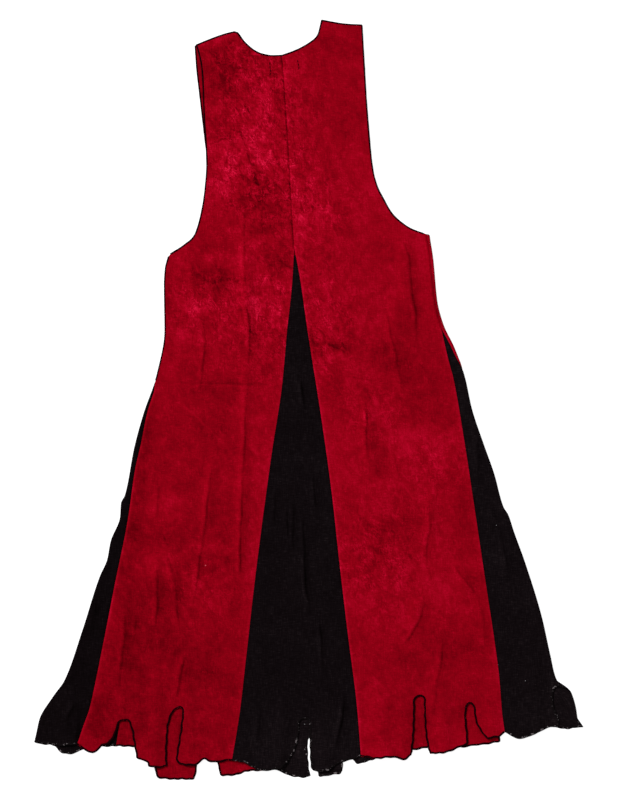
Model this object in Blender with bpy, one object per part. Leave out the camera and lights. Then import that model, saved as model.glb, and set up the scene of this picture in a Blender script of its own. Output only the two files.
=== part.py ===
"""A sarafan dress of red and black linen, laid flat on its front with the back uppermost.

The dress is two layers of cloth. The lower layer is the front and the upper layer is the back.
Each piece of the cut is drawn on its layer, given its height over the surface, and made a wall.
The side gores are one wall each, turned round the side edge from the back to the front.

The tables below are in millimetres: across is measured to the right of the middle of the dress,
and down is measured from the highest point of the shoulders. The solids are in metres, +Z up.
"""

import math
from collections import namedtuple

import bmesh
import bpy
import numpy as np
from mathutils import Vector
from mathutils.geometry import delaunay_2d_cdt

# Driving dimensions, in millimetres
LENGTH = 1253.0
CLOTH = 1.2
SEAM_GAP = 0.3
LAYER_GAP = 0.5
TURN_RADIUS = 2.2
TURN_RELAX = 16.0
GORE_TIP_DROP = 12.0
LIFT_TOP = 1098.0
LIFT_FULL = 1236.0

# Spacing of the surface, in millimetres
ROW = 36.0
TURN_ROW = 18.0
COLUMN = 30.0
EDGE_STEP = 24.0
CURVE_STEP = 13.0
NOTCH_STEPS = 5
FLANK_STEPS = (0.3, 0.62)
LIP_FLARE = 0.3
FOLD_STEP = 26.0
FOLD_LINES = (-1.0, -0.5, 0.0, 0.5, 1.0)
FOLD_CLEAR = 9.0
CLEAR = 8.0
SAME_POINT = 0.05
TURN_LINE_CLEAR = 1.2
SHARP_EDGE = 40.0
MILLIMETRES = 1000.0

UPPER = "upper"
LOWER = "lower"
TURN = "turn"
LEFT = -1
RIGHT = 1

RED = (0.376, 0.004, 0.012)
BLACK = (0.006, 0.004, 0.004)

Row = namedtuple("Row", "down across")
Point = namedtuple("Point", "across down")
Notch = namedtuple("Notch", "left_lip crown width right_lip")
Slot = namedtuple("Slot", "path")
Fold = namedtuple("Fold", "across down to_across to_down half_width height")
Lift = namedtuple("Lift", "across half_width height")

# The side edges, a row for each section where the edge changes its lean
LEFT_EDGE = (
    Row(390, -232), Row(411, -237), Row(437, -238.5), Row(512, -237.5), Row(583, -250),
    Row(650, -273), Row(705, -288), Row(784, -303.5), Row(797, -310), Row(820, -311.5),
    Row(860, -327), Row(891, -333), Row(918, -345), Row(1008, -374), Row(1089, -403),
    Row(1116, -422), Row(1152, -444), Row(1178, -450), Row(1191, -453),
)
RIGHT_EDGE = (
    Row(354, 199), Row(396, 205.5), Row(464, 212), Row(502, 222), Row(541, 240.5),
    Row(589, 257.5), Row(641, 269), Row(701, 289), Row(749, 306), Row(803, 321), Row(816, 329),
    Row(843, 338), Row(894, 356.5), Row(985, 384.5), Row(1048, 398.5), Row(1089, 409), Row(1098, 422),
    Row(1108, 432), Row(1134, 440.5), Row(1155, 444), Row(1166, 453),
)

# The seams of the back
BACK_CENTRE = (Row(58, -44), Row(140, -38), Row(236, -32), Row(314, -28), Row(376, -24))
BACK_GORE_LEFT = (
    Row(376, -24), Row(439, -28), Row(513, -36), Row(601, -44), Row(720, -62),
    Row(924, -89), Row(1056, -104), Row(1142, -114), Row(1221, -127),
)
BACK_GORE_RIGHT = (
    Row(376, -24), Row(429, -14), Row(506, -3), Row(659, 21), Row(782, 38),
    Row(891, 50), Row(1018, 65), Row(1128, 79), Row(1215, 86),
)
BACK_SIDE_LEFT = (
    Row(612, -255), Row(650, -267), Row(700, -277), Row(739, -286), Row(827, -299),
    Row(931, -320), Row(1018, -337), Row(1097, -353), Row(1137, -362), Row(1162, -371),
    Row(1195, -382),
)
BACK_SIDE_RIGHT = (
    Row(508, 218), Row(560, 230), Row(594, 239), Row(692, 256), Row(810, 274), Row(924, 291),
    Row(1023, 306), Row(1084, 314), Row(1145, 319), Row(1174, 323),
)

# The seams of the front, which lies a little to the right of the back towards the hem
FRONT_CENTRE = (Row(214, -41), Row(300, -27), Row(400, -15))
FRONT_GORE_LEFT = (Row(400, -15), Row(600, -29), Row(800, -45), Row(1000, -60), Row(1238, -76))
FRONT_GORE_RIGHT = (Row(400, -15), Row(600, 16), Row(800, 52), Row(1000, 89), Row(1212, 126))
FRONT_SIDE_LEFT = (
    Row(522, -235), Row(600, -240), Row(700, -252), Row(900, -277), Row(1050, -297),
    Row(1198, -318),
)
FRONT_SIDE_RIGHT = (
    Row(594, 248), Row(700, 268), Row(800, 291), Row(900, 313), Row(1000, 335), Row(1100, 357),
    Row(1170, 376),
)
# The right side seam runs up on the back, just inside the edge
RIGHT_SEAM_ABOVE_GORE = (Row(353, 193), Row(396, 200), Row(464, 207), Row(508, 218))
RIGHT_SEAM_BESIDE_GORE = (Row(508, 218), Row(529, 229.5), Row(558, 243.5))

# Where each side seam turns over the edge
LEFT_GORE_TIP = 504.0
LEFT_SEAM_TURNS = 594.0
RIGHT_SEAM_TURNS = 576.0

# Neck, shoulders and armholes, as smooth curves through these points
BACK_SHOULDER_LEFT = (Point(-186, 41), Point(-164, 32), Point(-142, 24), Point(-123, 19))
BACK_NECK = (
    Point(-117, 21), Point(-104, 38), Point(-86, 52), Point(-66, 58), Point(-44, 58),
    Point(-20, 49), Point(3, 36), Point(14, 25), Point(19, 8), Point(21, 0),
)
BACK_NECK_MIDDLE = 4
BACK_SHOULDER_RIGHT = (Point(21, 0), Point(56, 6), Point(88, 8))
BACK_ARM_RIGHT = (
    Point(88, 8), Point(91, 60), Point(96, 142), Point(104, 233), Point(112, 271),
    Point(124, 296), Point(140, 322), Point(165, 342), Point(190, 352.3),
)
BACK_ARM_LEFT = (
    Point(-186, 41), Point(-180, 62), Point(-176, 90), Point(-173, 160), Point(-169, 226),
    Point(-170, 262), Point(-176, 310), Point(-188, 353), Point(-206, 371), Point(-229, 386),
)
FRONT_ARM_LEFT = (
    Point(-188, 43), Point(-185, 83), Point(-180, 126), Point(-172, 195), Point(-165, 248),
    Point(-164, 290), Point(-173, 332), Point(-190, 364), Point(-208, 380), Point(-229, 391.5),
)
FRONT_ARM_RIGHT = (
    Point(85, 9), Point(86, 66), Point(89, 140), Point(94, 231), Point(103, 276),
    Point(116, 304), Point(144, 336), Point(170, 350), Point(196, 356),
)
FRONT_SHOULDER_LEFT = (Point(-188, 43), Point(-164, 33), Point(-142, 25), Point(-124, 20.5))
FRONT_NECK = (
    Point(-119, 22), Point(-118, 66), Point(-112, 115), Point(-97, 165), Point(-70, 201),
    Point(-41, 214), Point(-16, 203), Point(6, 172), Point(21, 122), Point(27, 66), Point(24, 2),
)
FRONT_NECK_MIDDLE = 5
FRONT_SHOULDER_RIGHT = (Point(24, 2), Point(56, 7), Point(85, 9))

# Hems, left to right: points along the edge, and the slots cut up into it. A Notch has even
# sides and a round crown, and a Slot is uneven, so its whole edge is given from lip to lip.
BACK_HEM_LEFT_GORE = (Point(-434, 1193), Point(-410, 1196), Point(-382, 1195))
BACK_HEM_LEFT = (
    Point(-382, 1195), Point(-371, 1202), Point(-362, 1208), Point(-354, 1209),
    Slot((
        Point(-341, 1197), Point(-331, 1193), Point(-323, 1185), Point(-318, 1174),
        Point(-314.5, 1163.5), Point(-310, 1157), Point(-303.5, 1155), Point(-297.5, 1157),
        Point(-294, 1164), Point(-291, 1175), Point(-289, 1188), Point(-286.5, 1201), Point(-285, 1211)
    )),
    Point(-282, 1219), Point(-267, 1223), Point(-264, 1229.5), Point(-257, 1232), Point(-244, 1233),
    Slot((
        Point(-234, 1231), Point(-234.5, 1216), Point(-234.5, 1201), Point(-233.5, 1185),
        Point(-232.5, 1168), Point(-230.5, 1157.5), Point(-227.5, 1148), Point(-223, 1140.5),
        Point(-218.5, 1136), Point(-213.5, 1134), Point(-209.5, 1137), Point(-208, 1143),
        Point(-209.5, 1155), Point(-211.5, 1172), Point(-214.5, 1190), Point(-217, 1205),
        Point(-218.5, 1218), Point(-215, 1226)
    )),
    Point(-208, 1229), Point(-186, 1228), Point(-172, 1219), Point(-160, 1224), Point(-127, 1221),
)
BACK_HEM_GORE = (
    Point(-127, 1221), Point(-108, 1224), Point(-84, 1236), Point(-49, 1235),
    Notch(Point(-41, 1228), Point(-7.5, 1152), 18, Point(4, 1232)),
    Point(10, 1239), Point(28, 1238), Point(50, 1226), Point(86, 1215),
)
BACK_HEM_RIGHT = (
    Point(86, 1215), Point(114, 1218), Point(140, 1216), Point(158, 1220),
    Notch(Point(169, 1213), Point(182.5, 1115), 16, Point(200, 1211)),
    Point(230, 1207), Point(252, 1198),
    Slot((
        Point(262, 1193), Point(262, 1184), Point(261, 1171), Point(259.5, 1158), Point(259, 1146),
        Point(259.5, 1136), Point(262.5, 1130), Point(266, 1128), Point(269.5, 1130),
        Point(272.5, 1137), Point(273.5, 1145), Point(274.5, 1153.5), Point(277.5, 1162),
        Point(285, 1175), Point(293, 1185)
    )),
    Point(307, 1183.5), Point(316, 1182), Point(323, 1174),
)
BACK_HEM_RIGHT_GORE = (
    Point(323, 1174), Point(345, 1185), Point(364, 1181), Point(386, 1171), Point(398, 1166),
)
RIGHT_TURN_NOTCH = (
    Point(411, 1165), Point(411, 1152), Point(404, 1134), Point(402, 1114), Point(405, 1103),
    Point(411, 1099),
)
RIGHT_TURN_LIP = (1104.0, 1120.0, 1136.0, 1152.0)
FRONT_HEM_LEFT_GORE = (
    Point(-437, 1195), Point(-419, 1197), Point(-411, 1206), Point(-396, 1211), Point(-384, 1208),
    Point(-370, 1201),
    Notch(Point(-365, 1199), Point(-357, 1140), 14, Point(-349, 1197)),
    Point(-340, 1198), Point(-318, 1198),
)
FRONT_HEM_LEFT = (
    Point(-318, 1198), Point(-300, 1198), Point(-286, 1199),
    Notch(Point(-281, 1200), Point(-268, 1120), 18, Point(-255, 1230)),
    Point(-249, 1249), Point(-230, 1252), Point(-196, 1253),
    Notch(Point(-189, 1251), Point(-168, 1140), 24, Point(-147, 1238)),
    Point(-144, 1246), Point(-124, 1246), Point(-104, 1240), Point(-76, 1238),
)
FRONT_HEM_GORE = (
    Point(-76, 1238), Point(-50, 1238), Point(-33, 1246), Point(-18, 1249), Point(-6, 1249),
    Notch(Point(2, 1246), Point(7, 1181), 19, Point(15, 1240)),
    Point(19, 1248), Point(38, 1244), Point(50, 1244),
    Notch(Point(55, 1238), Point(64, 1150), 15, Point(73, 1219)),
    Point(81, 1227), Point(96, 1223), Point(126, 1212),
)
FRONT_HEM_RIGHT = (
    Point(126, 1212), Point(138, 1209),
    Notch(Point(142, 1209), Point(150, 1120), 16, Point(158, 1207)),
    Point(172, 1204), Point(198, 1200), Point(216, 1200),
    Notch(Point(221, 1199), Point(230, 1115), 18, Point(240, 1199)),
    Point(266, 1198), Point(308, 1192),
    Notch(Point(315, 1190), Point(325, 1110), 18, Point(335, 1173)),
    Point(350, 1174), Point(376, 1170),
)
FRONT_HEM_RIGHT_GORE = (
    Point(376, 1170), Point(396, 1165), Point(411, 1167), Point(425, 1170), Point(442, 1166),
)

# The largest folds of the upper layer: ridges in the cloth, the last of them open at the hem
FOLDS = (
    Fold(-104, 352, -101, 560, 17, 3.4),
    Fold(-102, 545, -106, 700, 15, 2.6),
    Fold(-106, 690, -113, 930, 18, 3.6),
    Fold(-154, 690, -173, 866, 16, 3.0),
    Fold(-206, 408, -124, 440, 15, 2.4),
    Fold(-250, 870, -250, 990, 15, 2.4),
    Fold(-234, 890, -213, 985, 15, 2.6),
    Fold(154, 345, 162, 500, 17, 3.2),
    Fold(162, 485, 177, 560, 15, 2.4),
    Fold(138, 432, 145, 590, 16, 2.8),
    Fold(95, 612, 104, 756, 17, 3.0),
    Fold(200, 770, 200, 862, 16, 2.4),
    Fold(238, 886, 268, 948, 15, 2.4),
    Fold(188, 946, 166, 1012, 15, 2.6),
    Fold(-14, 590, -16, 662, 13, 2.0),
    Fold(-27, 830, -4, 935, 16, 2.4),
    Fold(279, 668, 281, 766, 15, 2.6),
    Fold(325, 848, 328, 932, 16, 2.6),
    Fold(-306, 980, -300, 1108, 16, 2.8),
    Fold(-390, 1090, -404, 1290, 22, 3.0),
    Fold(-322, 1130, -336, 1290, 20, 3.6),
    Fold(-250, 1060, -262, 1300, 22, 4.2),
    Fold(-206, 1040, -190, 1300, 20, 4.4),
    Fold(-120, 1110, -104, 1310, 26, 3.4),
    Fold(-40, 1090, -52, 1310, 22, 3.8),
    Fold(26, 1120, 30, 1300, 22, 3.2),
    Fold(112, 1080, 128, 1300, 26, 3.4),
    Fold(217, 1050, 222, 1290, 22, 4.0),
    Fold(300, 1090, 306, 1260, 22, 3.2),
    Fold(366, 1040, 380, 1250, 24, 3.6),
)
FOLD_TAPER = 0.3

# Where the hem stands off the surface, both layers together
HEM_LIFTS = (
    Lift(-396, 44, 3.6), Lift(-262, 46, 3.0), Lift(-160, 50, 4.2), Lift(-66, 44, 2.8),
    Lift(40, 46, 3.8), Lift(150, 50, 4.4), Lift(245, 44, 3.0), Lift(340, 48, 4.0),
)


def line(rows):
    """Across as a smooth function of down, through a table's rows and straight on beyond them."""
    down = np.array([row.down for row in rows], float)
    across = np.array([row.across for row in rows], float)
    slope = np.diff(across) / np.diff(down)
    lean = np.zeros(len(down))
    lean[0], lean[-1] = slope[0], slope[-1]
    for i in range(1, len(down) - 1):
        before, after = slope[i - 1], slope[i]
        if before * after > 0:
            lean[i] = 2 * before * after / (before + after)

    def at(value):
        i = int(np.clip(np.searchsorted(down, value) - 1, 0, len(down) - 2))
        span = down[i + 1] - down[i]
        t = (value - down[i]) / span
        if t < 0 or t > 1:
            end = i if t < 0 else i + 1
            return across[end] + lean[end] * (value - down[end])
        return (
            (1 + 2 * t) * (1 - t) ** 2 * across[i]
            + t * (1 - t) ** 2 * span * lean[i]
            + t * t * (3 - 2 * t) * across[i + 1]
            - t * t * (1 - t) * span * lean[i + 1]
        )

    return at


left_edge = line(LEFT_EDGE)
right_edge = line(RIGHT_EDGE)


def edge(down, side):
    if side == LEFT:
        return left_edge(min(max(down, LEFT_EDGE[0].down), LEFT_EDGE[-1].down))
    return right_edge(min(max(down, RIGHT_EDGE[0].down), RIGHT_EDGE[-1].down))


def turn_start(down, side):
    """Across where the cloth leaves the flat and starts to turn round the side edge."""
    return edge(down, side) - side * TURN_RADIUS


def unfold(across, down, layer, side, start):
    """A place on the cloth as Point(across, down), with the cloth rolled out past the side edge."""
    if layer == start or side is None:
        return Point(across, down)
    past = math.pi * TURN_RADIUS
    if layer == TURN:
        return Point(turn_start(down, side) + side * past / 2, down)
    return Point(2 * turn_start(down, side) + side * past - across, down)


def smooth_step(t):
    t = min(max(t, 0.0), 1.0)
    return t * t * (3 - 2 * t)


def fold_height(across, down):
    """Height that the ridges add to the upper layer."""
    total = 0.0
    for fold in FOLDS:
        run = Vector((fold.to_across - fold.across, fold.to_down - fold.down))
        place = Vector((across - fold.across, down - fold.down))
        t = place.dot(run) / run.length_squared
        if not 0 < t < 1:
            continue
        aside = (place - run * t).length / fold.half_width
        if aside < 1:
            ends = smooth_step(t / FOLD_TAPER) * smooth_step((1 - t) / FOLD_TAPER)
            total += fold.height * ends * math.cos(aside * math.pi / 2) ** 2
    return total


def lift_height(across, down):
    """Height that both layers have over the surface near the hem."""
    rise = smooth_step((down - LIFT_TOP) / (LIFT_FULL - LIFT_TOP))
    total = 0.0
    for lift in HEM_LIFTS:
        aside = abs(across - lift.across) / lift.half_width
        if aside < 1:
            total += lift.height * rise * math.cos(aside * math.pi / 2) ** 2
    return total


def upper_height(across, down):
    """Outer face of the upper layer: it lies on the lower layer and stands a little at the side edges."""
    flat = 2 * CLOTH + LAYER_GAP
    stand = 0.0
    for side in (LEFT, RIGHT):
        inside = side * (turn_start(down, side) - across)
        stand = max(stand, 1 - smooth_step(inside / TURN_RELAX))
    return flat + (2 * TURN_RADIUS - flat) * stand + (1 - stand) * fold_height(across, down)


def place(point, side, start, depth=0.0):
    """A point of the rolled-out piece in space, in millimetres, at a depth under its outer face."""
    across, down = point
    up = LENGTH / 2 - down
    past = side * (across - turn_start(down, side)) if side is not None else -1.0
    half_turn = math.pi * TURN_RADIUS
    on_upper = start == UPPER
    if 0 < past < half_turn:
        angle = past / TURN_RADIUS
        radius = TURN_RADIUS - depth
        across = turn_start(down, side) + side * radius * math.sin(angle)
        height = TURN_RADIUS + radius * math.cos(angle) * (1 if on_upper else -1)
    else:
        if past > 0:
            across = turn_start(down, side) - side * (past - half_turn)
            on_upper = not on_upper
        height = upper_height(across, down) - depth if on_upper else depth
    return Vector((across, up, height + lift_height(across, down)))


def stations(top, bottom, step=ROW):
    """Heights of the sections between two heights, both ends included, closer where the hem lifts."""
    first = math.ceil((top + CLEAR) / TURN_ROW)
    last = math.floor((bottom - CLEAR) / TURN_ROW)
    between = [TURN_ROW * i for i in range(first, last + 1)]
    return [top] + [down for down in between if down > LIFT_TOP or down % step == 0] + [bottom]


def seam(rows, layer, top=None, bottom=None):
    """A seam as places (across, down, layer), top to bottom."""
    across = line(rows)
    top = rows[0].down if top is None else top
    bottom = rows[-1].down if bottom is None else bottom
    return [(across(down), down, layer) for down in stations(top, bottom)]


def turned(top, bottom):
    """A seam that runs along the side edge itself."""
    return [(0.0, down, TURN) for down in stations(top, bottom, TURN_ROW)]


def curve(points, step):
    """Points of about one spacing on a smooth curve through the given ones."""
    given = [Vector(point) for point in points]
    given = [2 * given[0] - given[1]] + given + [2 * given[-1] - given[-2]]
    found = []
    for a, b, c, d in zip(given, given[1:], given[2:], given[3:]):
        count = max(1, round((c - b).length / step))
        for i in range(count):
            t = i / count
            spot = 2 * b + (c - a) * t + (2 * a - 5 * b + 4 * c - d) * t**2
            found.append((spot + (3 * b - a - 3 * c + d) * t**3) / 2)
    found.append(given[-2])
    return [Point(*spot) for spot in found]


def notch_outline(notch):
    """A slot in the hem: up one side, round the crown and down the other side."""
    half = notch.width / 2
    middle = Point(notch.crown.across, notch.crown.down + half)
    round_top = []
    for i in range(NOTCH_STEPS):
        angle = math.pi * i / (NOTCH_STEPS - 1)
        round_top.append(
            Point(middle.across - half * math.cos(angle), middle.down - half * math.sin(angle))
        )

    def flank(lip, foot):
        """The points between a lip and the crown, which flare out towards the lip."""
        inner = Point(foot.across, lip.down - LIP_FLARE * (lip.down - foot.down))
        found = []
        for t in FLANK_STEPS:
            spot = (1 - t) ** 2 * Vector(lip) + 2 * t * (1 - t) * Vector(inner) + t * t * Vector(foot)
            found.append(Point(*spot))
        return found

    down_right = flank(notch.right_lip, round_top[-1])[::-1]
    return (
        [notch.left_lip] + flank(notch.left_lip, round_top[0]) + round_top
        + down_right + [notch.right_lip]
    )


def hem(items):
    """The hem as points: smooth curves between the slots, and the slots themselves."""
    found = []
    run = []
    for item in items:
        if isinstance(item, Point):
            run.append(item)
        else:
            slot = notch_outline(item) if isinstance(item, Notch) else curve(item.path, CURVE_STEP)
            found += curve(run + slot[:1], CURVE_STEP)[:-1] + slot[:-1]
            run = slot[-1:]
    return found + curve(run, CURVE_STEP)


def on(layer, points):
    return [(point.across, point.down, layer) for point in points]


def shifted(places, outward, side=None, start=None):
    """A seam's places, rolled out and moved half a seam gap towards the piece they bound."""
    found = []
    for across, down, layer in places:
        point = unfold(across, down, layer, side, start)
        found.append(Point(point.across + outward * SEAM_GAP / 2, down))
    return found


def rolled(places, side, start):
    return [unfold(across, down, layer, side, start) for across, down, layer in places]


def back_panel_left():
    side_seam = seam(BACK_SIDE_LEFT, UPPER)[::-1]
    up_side = side_seam + turned(LEFT_EDGE[0].down, LEFT_SEAM_TURNS)[::-1]
    centre = seam(BACK_CENTRE, UPPER) + seam(BACK_GORE_LEFT, UPPER)[1:]
    return (
        curve(BACK_SHOULDER_LEFT, CURVE_STEP)
        + curve(BACK_NECK[: BACK_NECK_MIDDLE + 1], CURVE_STEP)[:-1]
        + shifted(centre, -1)
        + hem(BACK_HEM_LEFT)[::-1][1:-1]
        + shifted(up_side, 1, LEFT, UPPER)
        + curve(BACK_ARM_LEFT, CURVE_STEP)[::-1][:-1]
    )


def back_panel_right():
    side_seam = seam(RIGHT_SEAM_ABOVE_GORE, UPPER) + seam(BACK_SIDE_RIGHT, UPPER)[1:]
    centre = seam(BACK_CENTRE, UPPER) + seam(BACK_GORE_RIGHT, UPPER)[1:]
    return (
        curve(BACK_NECK[BACK_NECK_MIDDLE:], CURVE_STEP)[1:-1]
        + curve(BACK_SHOULDER_RIGHT, EDGE_STEP)[:-1]
        + curve(BACK_ARM_RIGHT, CURVE_STEP)
        + shifted(side_seam, -1, RIGHT, UPPER)
        + hem(BACK_HEM_RIGHT)[::-1][1:-1]
        + shifted(centre, 1)[::-1]
    )


def back_gore():
    tip = BACK_GORE_LEFT[0].down + GORE_TIP_DROP
    return (
        shifted(seam(BACK_GORE_RIGHT, UPPER, tip), -1)
        + hem(BACK_HEM_GORE)[::-1][1:-1]
        + shifted(seam(BACK_GORE_LEFT, UPPER, tip), 1)[::-1]
    )


def front_panel_left():
    centre = seam(FRONT_CENTRE, LOWER) + seam(FRONT_GORE_LEFT, LOWER)[1:]
    up_side = seam(FRONT_SIDE_LEFT, LOWER)[::-1] + turned(LEFT_EDGE[0].down, LEFT_GORE_TIP)[::-1]
    return (
        curve(FRONT_SHOULDER_LEFT, EDGE_STEP)
        + curve(FRONT_NECK[: FRONT_NECK_MIDDLE + 1], EDGE_STEP)[:-1]
        + shifted(centre, -1)
        + hem(FRONT_HEM_LEFT)[::-1][1:-1]
        + shifted(up_side, 1, LEFT, LOWER)
        + curve(FRONT_ARM_LEFT, EDGE_STEP)[::-1][:-1]
    )


def right_seam_over_the_edge():
    """The seam between the right side gore and the front panel, from its tip on the back."""
    return (
        seam(RIGHT_SEAM_BESIDE_GORE, UPPER)
        + [(0.0, RIGHT_SEAM_TURNS, TURN)]
        + seam(FRONT_SIDE_RIGHT, LOWER)
    )


def front_panel_right():
    centre = seam(FRONT_CENTRE, LOWER) + seam(FRONT_GORE_RIGHT, LOWER)[1:]
    side_seam = [(0.0, RIGHT_EDGE[0].down, TURN)] + seam(RIGHT_SEAM_ABOVE_GORE, UPPER)
    side_seam += right_seam_over_the_edge()[1:]
    return (
        curve(FRONT_NECK[FRONT_NECK_MIDDLE:], EDGE_STEP)[1:-1]
        + curve(FRONT_SHOULDER_RIGHT, EDGE_STEP)[:-1]
        + curve(FRONT_ARM_RIGHT, EDGE_STEP)
        + shifted(side_seam, -1, RIGHT, LOWER)
        + hem(FRONT_HEM_RIGHT)[::-1][1:-1]
        + shifted(centre, 1)[::-1]
    )


def front_gore():
    tip = FRONT_GORE_LEFT[0].down + GORE_TIP_DROP
    return (
        shifted(seam(FRONT_GORE_RIGHT, LOWER, tip), -1)
        + hem(FRONT_HEM_GORE)[::-1][1:-1]
        + shifted(seam(FRONT_GORE_LEFT, LOWER, tip), 1)[::-1]
    )


def side_gore_left():
    back_seam = turned(FRONT_SIDE_LEFT[0].down, LEFT_SEAM_TURNS) + seam(BACK_SIDE_LEFT, UPPER)
    front_seam = seam(FRONT_SIDE_LEFT, LOWER)
    back_hem = on(UPPER, hem(BACK_HEM_LEFT_GORE)[::-1][1:])
    front_hem = on(LOWER, hem(FRONT_HEM_LEFT_GORE)[:-1])
    return (
        shifted(back_seam, -1, LEFT, UPPER)
        + rolled(back_hem, LEFT, UPPER)
        + [unfold(0.0, LEFT_EDGE[-1].down, TURN, LEFT, UPPER)]
        + rolled(front_hem, LEFT, UPPER)
        + shifted(front_seam, 1, LEFT, UPPER)[::-1]
    )


def side_gore_right():
    back_seam = seam(BACK_SIDE_RIGHT, UPPER, BACK_SIDE_RIGHT[0].down + GORE_TIP_DROP)
    lip = [(0.0, down, TURN) for down in RIGHT_TURN_LIP]
    lip.append((0.0, RIGHT_EDGE[-1].down, TURN))
    front_hem = on(LOWER, hem(FRONT_HEM_RIGHT_GORE)[::-1][:-1])
    beside = right_seam_over_the_edge()[1:]
    return (
        shifted(beside, -1, RIGHT, UPPER)[::-1]
        + shifted(back_seam, 1)
        + list(BACK_HEM_RIGHT_GORE[1:])
        + list(RIGHT_TURN_NOTCH)
        + rolled(lip, RIGHT, UPPER)
        + rolled(front_hem, RIGHT, UPPER)
    )


def distance_to(outline, points):
    """How far each point lies inside the outline, and below nought outside it."""
    a = np.array(outline)
    b = np.roll(a, -1, axis=0)
    p = np.asarray(points, float)[:, None, :]
    run = b - a
    t = np.clip(((p - a) * run).sum(-1) / (run**2).sum(-1), 0, 1)
    far = np.sqrt((((p - a) - run * t[..., None]) ** 2).sum(-1)).min(axis=1)
    above = (a[:, 1] > p[..., 1]) != (b[:, 1] > p[..., 1])
    rise = np.where(b[:, 1] == a[:, 1], 1.0, b[:, 1] - a[:, 1])
    cross = a[:, 0] + (p[..., 1] - a[:, 1]) * run[:, 0] / rise
    inside = (above & (p[..., 0] < cross)).sum(axis=1) % 2 == 1
    return np.where(inside, far, -far)


def turn_places(outline, side):
    """Lines of points that follow the side edge round its turn, and the edges that join them."""
    half_turn = math.pi * TURN_RADIUS
    offsets = [-TURN_RELAX, -TURN_RELAX / 2, 0.0]
    offsets += [half_turn * part for part in (0.25, 0.5, 0.75, 1.0)]
    far = max(side * (point.across - turn_start(point.down, side)) for point in outline)
    if far > half_turn + TURN_RELAX:
        offsets += [half_turn + TURN_RELAX / 2, half_turn + TURN_RELAX]
    points = []
    joins = []
    lowest = max(point.down for point in outline)
    highest = min(point.down for point in outline)
    for offset in offsets:
        previous = None
        for i in range(math.ceil(highest / TURN_ROW), math.floor(lowest / TURN_ROW) + 1):
            down = i * TURN_ROW
            point = Point(turn_start(down, side) + side * offset, down)
            tests = [point]
            if previous is not None:
                tests.append(Point((point.across + previous.across) / 2, down - TURN_ROW / 2))
            depths = distance_to(outline, tests)
            if depths[0] < TURN_LINE_CLEAR:
                previous = None
                continue
            if previous is not None and depths[1] > 0:
                joins.append((len(points) - 1, len(points)))
            points.append(point)
            previous = point
    return points, joins


def fold_places():
    """Points along each ridge: its crest, its flanks and its two feet."""
    found = []
    for fold in FOLDS:
        run = Vector((fold.to_across - fold.across, fold.to_down - fold.down))
        aside = Vector((-run.y, run.x)).normalized() * fold.half_width
        count = max(2, round(run.length / FOLD_STEP))
        for i in range(count + 1):
            for part in FOLD_LINES:
                spot = Vector((fold.across, fold.down)) + run * (i / count) + aside * part
                found.append(Point(*spot))
    return found


def lattice(outline):
    """Staggered rows of points over the whole outline, closer together where the hem lifts."""
    box = np.array(outline)
    found = []
    for i in range(math.floor(box[:, 1].min() / TURN_ROW), math.ceil(box[:, 1].max() / TURN_ROW)):
        down = TURN_ROW * i
        close = down > LIFT_TOP
        if not close and down % ROW:
            continue
        column = COLUMN / 2 if close else COLUMN
        stagger = 0.5 if down % (2 * TURN_ROW if close else 2 * ROW) else 0.0
        start = column * (math.floor(box[:, 0].min() / column) + stagger)
        for j in range(math.ceil((box[:, 0].max() - start) / column) + 1):
            found.append(Point(start + column * j, down))
    return found


def clear_of(kept, more, clear):
    """The first list, with the points of the second list that keep clear of it."""
    if not kept or not more:
        return kept + more
    apart = np.array(more)[:, None, :] - np.array(kept)
    nearest = (apart**2).sum(axis=2).min(axis=1)
    return kept + [point for point, near in zip(more, nearest) if near > clear**2]


def surface(name, outline, side, start):
    """One piece as a wall: its outline, the points inside it and the triangles between them."""
    corners = np.array(outline)
    long_enough = np.linalg.norm(corners - np.roll(corners, 1, axis=0), axis=1) > SAME_POINT
    outline = [point for point, keep in zip(outline, long_enough) if keep]
    inner = []
    joins = []
    if side is not None:
        inner, joins = turn_places(outline, side)
    free = lattice(outline)
    if start == UPPER:
        free = clear_of(fold_places(), free, FOLD_CLEAR)
    free = [point for point, depth in zip(free, distance_to(outline, free)) if depth > CLEAR]
    if side is not None:
        past = [side * (point.across - turn_start(point.down, side)) for point in free]
        rim = math.pi * TURN_RADIUS + TURN_RELAX + CLEAR
        free = [p for p, far in zip(free, past) if far < -TURN_RELAX - CLEAR or far > rim]
    inner = clear_of(inner, free, CLEAR)
    count = len(outline)
    edges = [(i, (i + 1) % count) for i in range(count)]
    edges += [(a + count, b + count) for a, b in joins]
    flat = [Vector(point) for point in outline + inner]
    points, _, faces = delaunay_2d_cdt(flat, edges, [], 1, SAME_POINT / MILLIMETRES)[:3]
    return wall(name, points, faces, side, start)


def wall(name, points, faces, side, start):
    """A wall of cloth over a flat triangulation: an outer face, an inner face and a rim."""
    build = bmesh.new()
    outer = [build.verts.new(place(point, side, start) / MILLIMETRES) for point in points]
    inner = [build.verts.new(place(point, side, start, CLOTH) / MILLIMETRES) for point in points]
    rim = set()
    for face in faces:
        a, b, c = (points[i] for i in face)
        if (b - a).cross(c - a) * (1 if start == UPPER else -1) > 0:
            face = face[::-1]
        build.faces.new([outer[i] for i in face])
        build.faces.new([inner[i] for i in reversed(face)])
        for a, b in zip(face, face[1:] + face[:1]):
            if (b, a) in rim:
                rim.remove((b, a))
            else:
                rim.add((a, b))
    for a, b in sorted(rim):
        build.faces.new((outer[b], outer[a], inner[a], inner[b]))
    bmesh.ops.delete(build, geom=[v for v in build.verts if not v.link_faces], context="VERTS")
    mesh = bpy.data.meshes.new(name)
    build.to_mesh(mesh)
    build.free()
    return mesh


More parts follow.
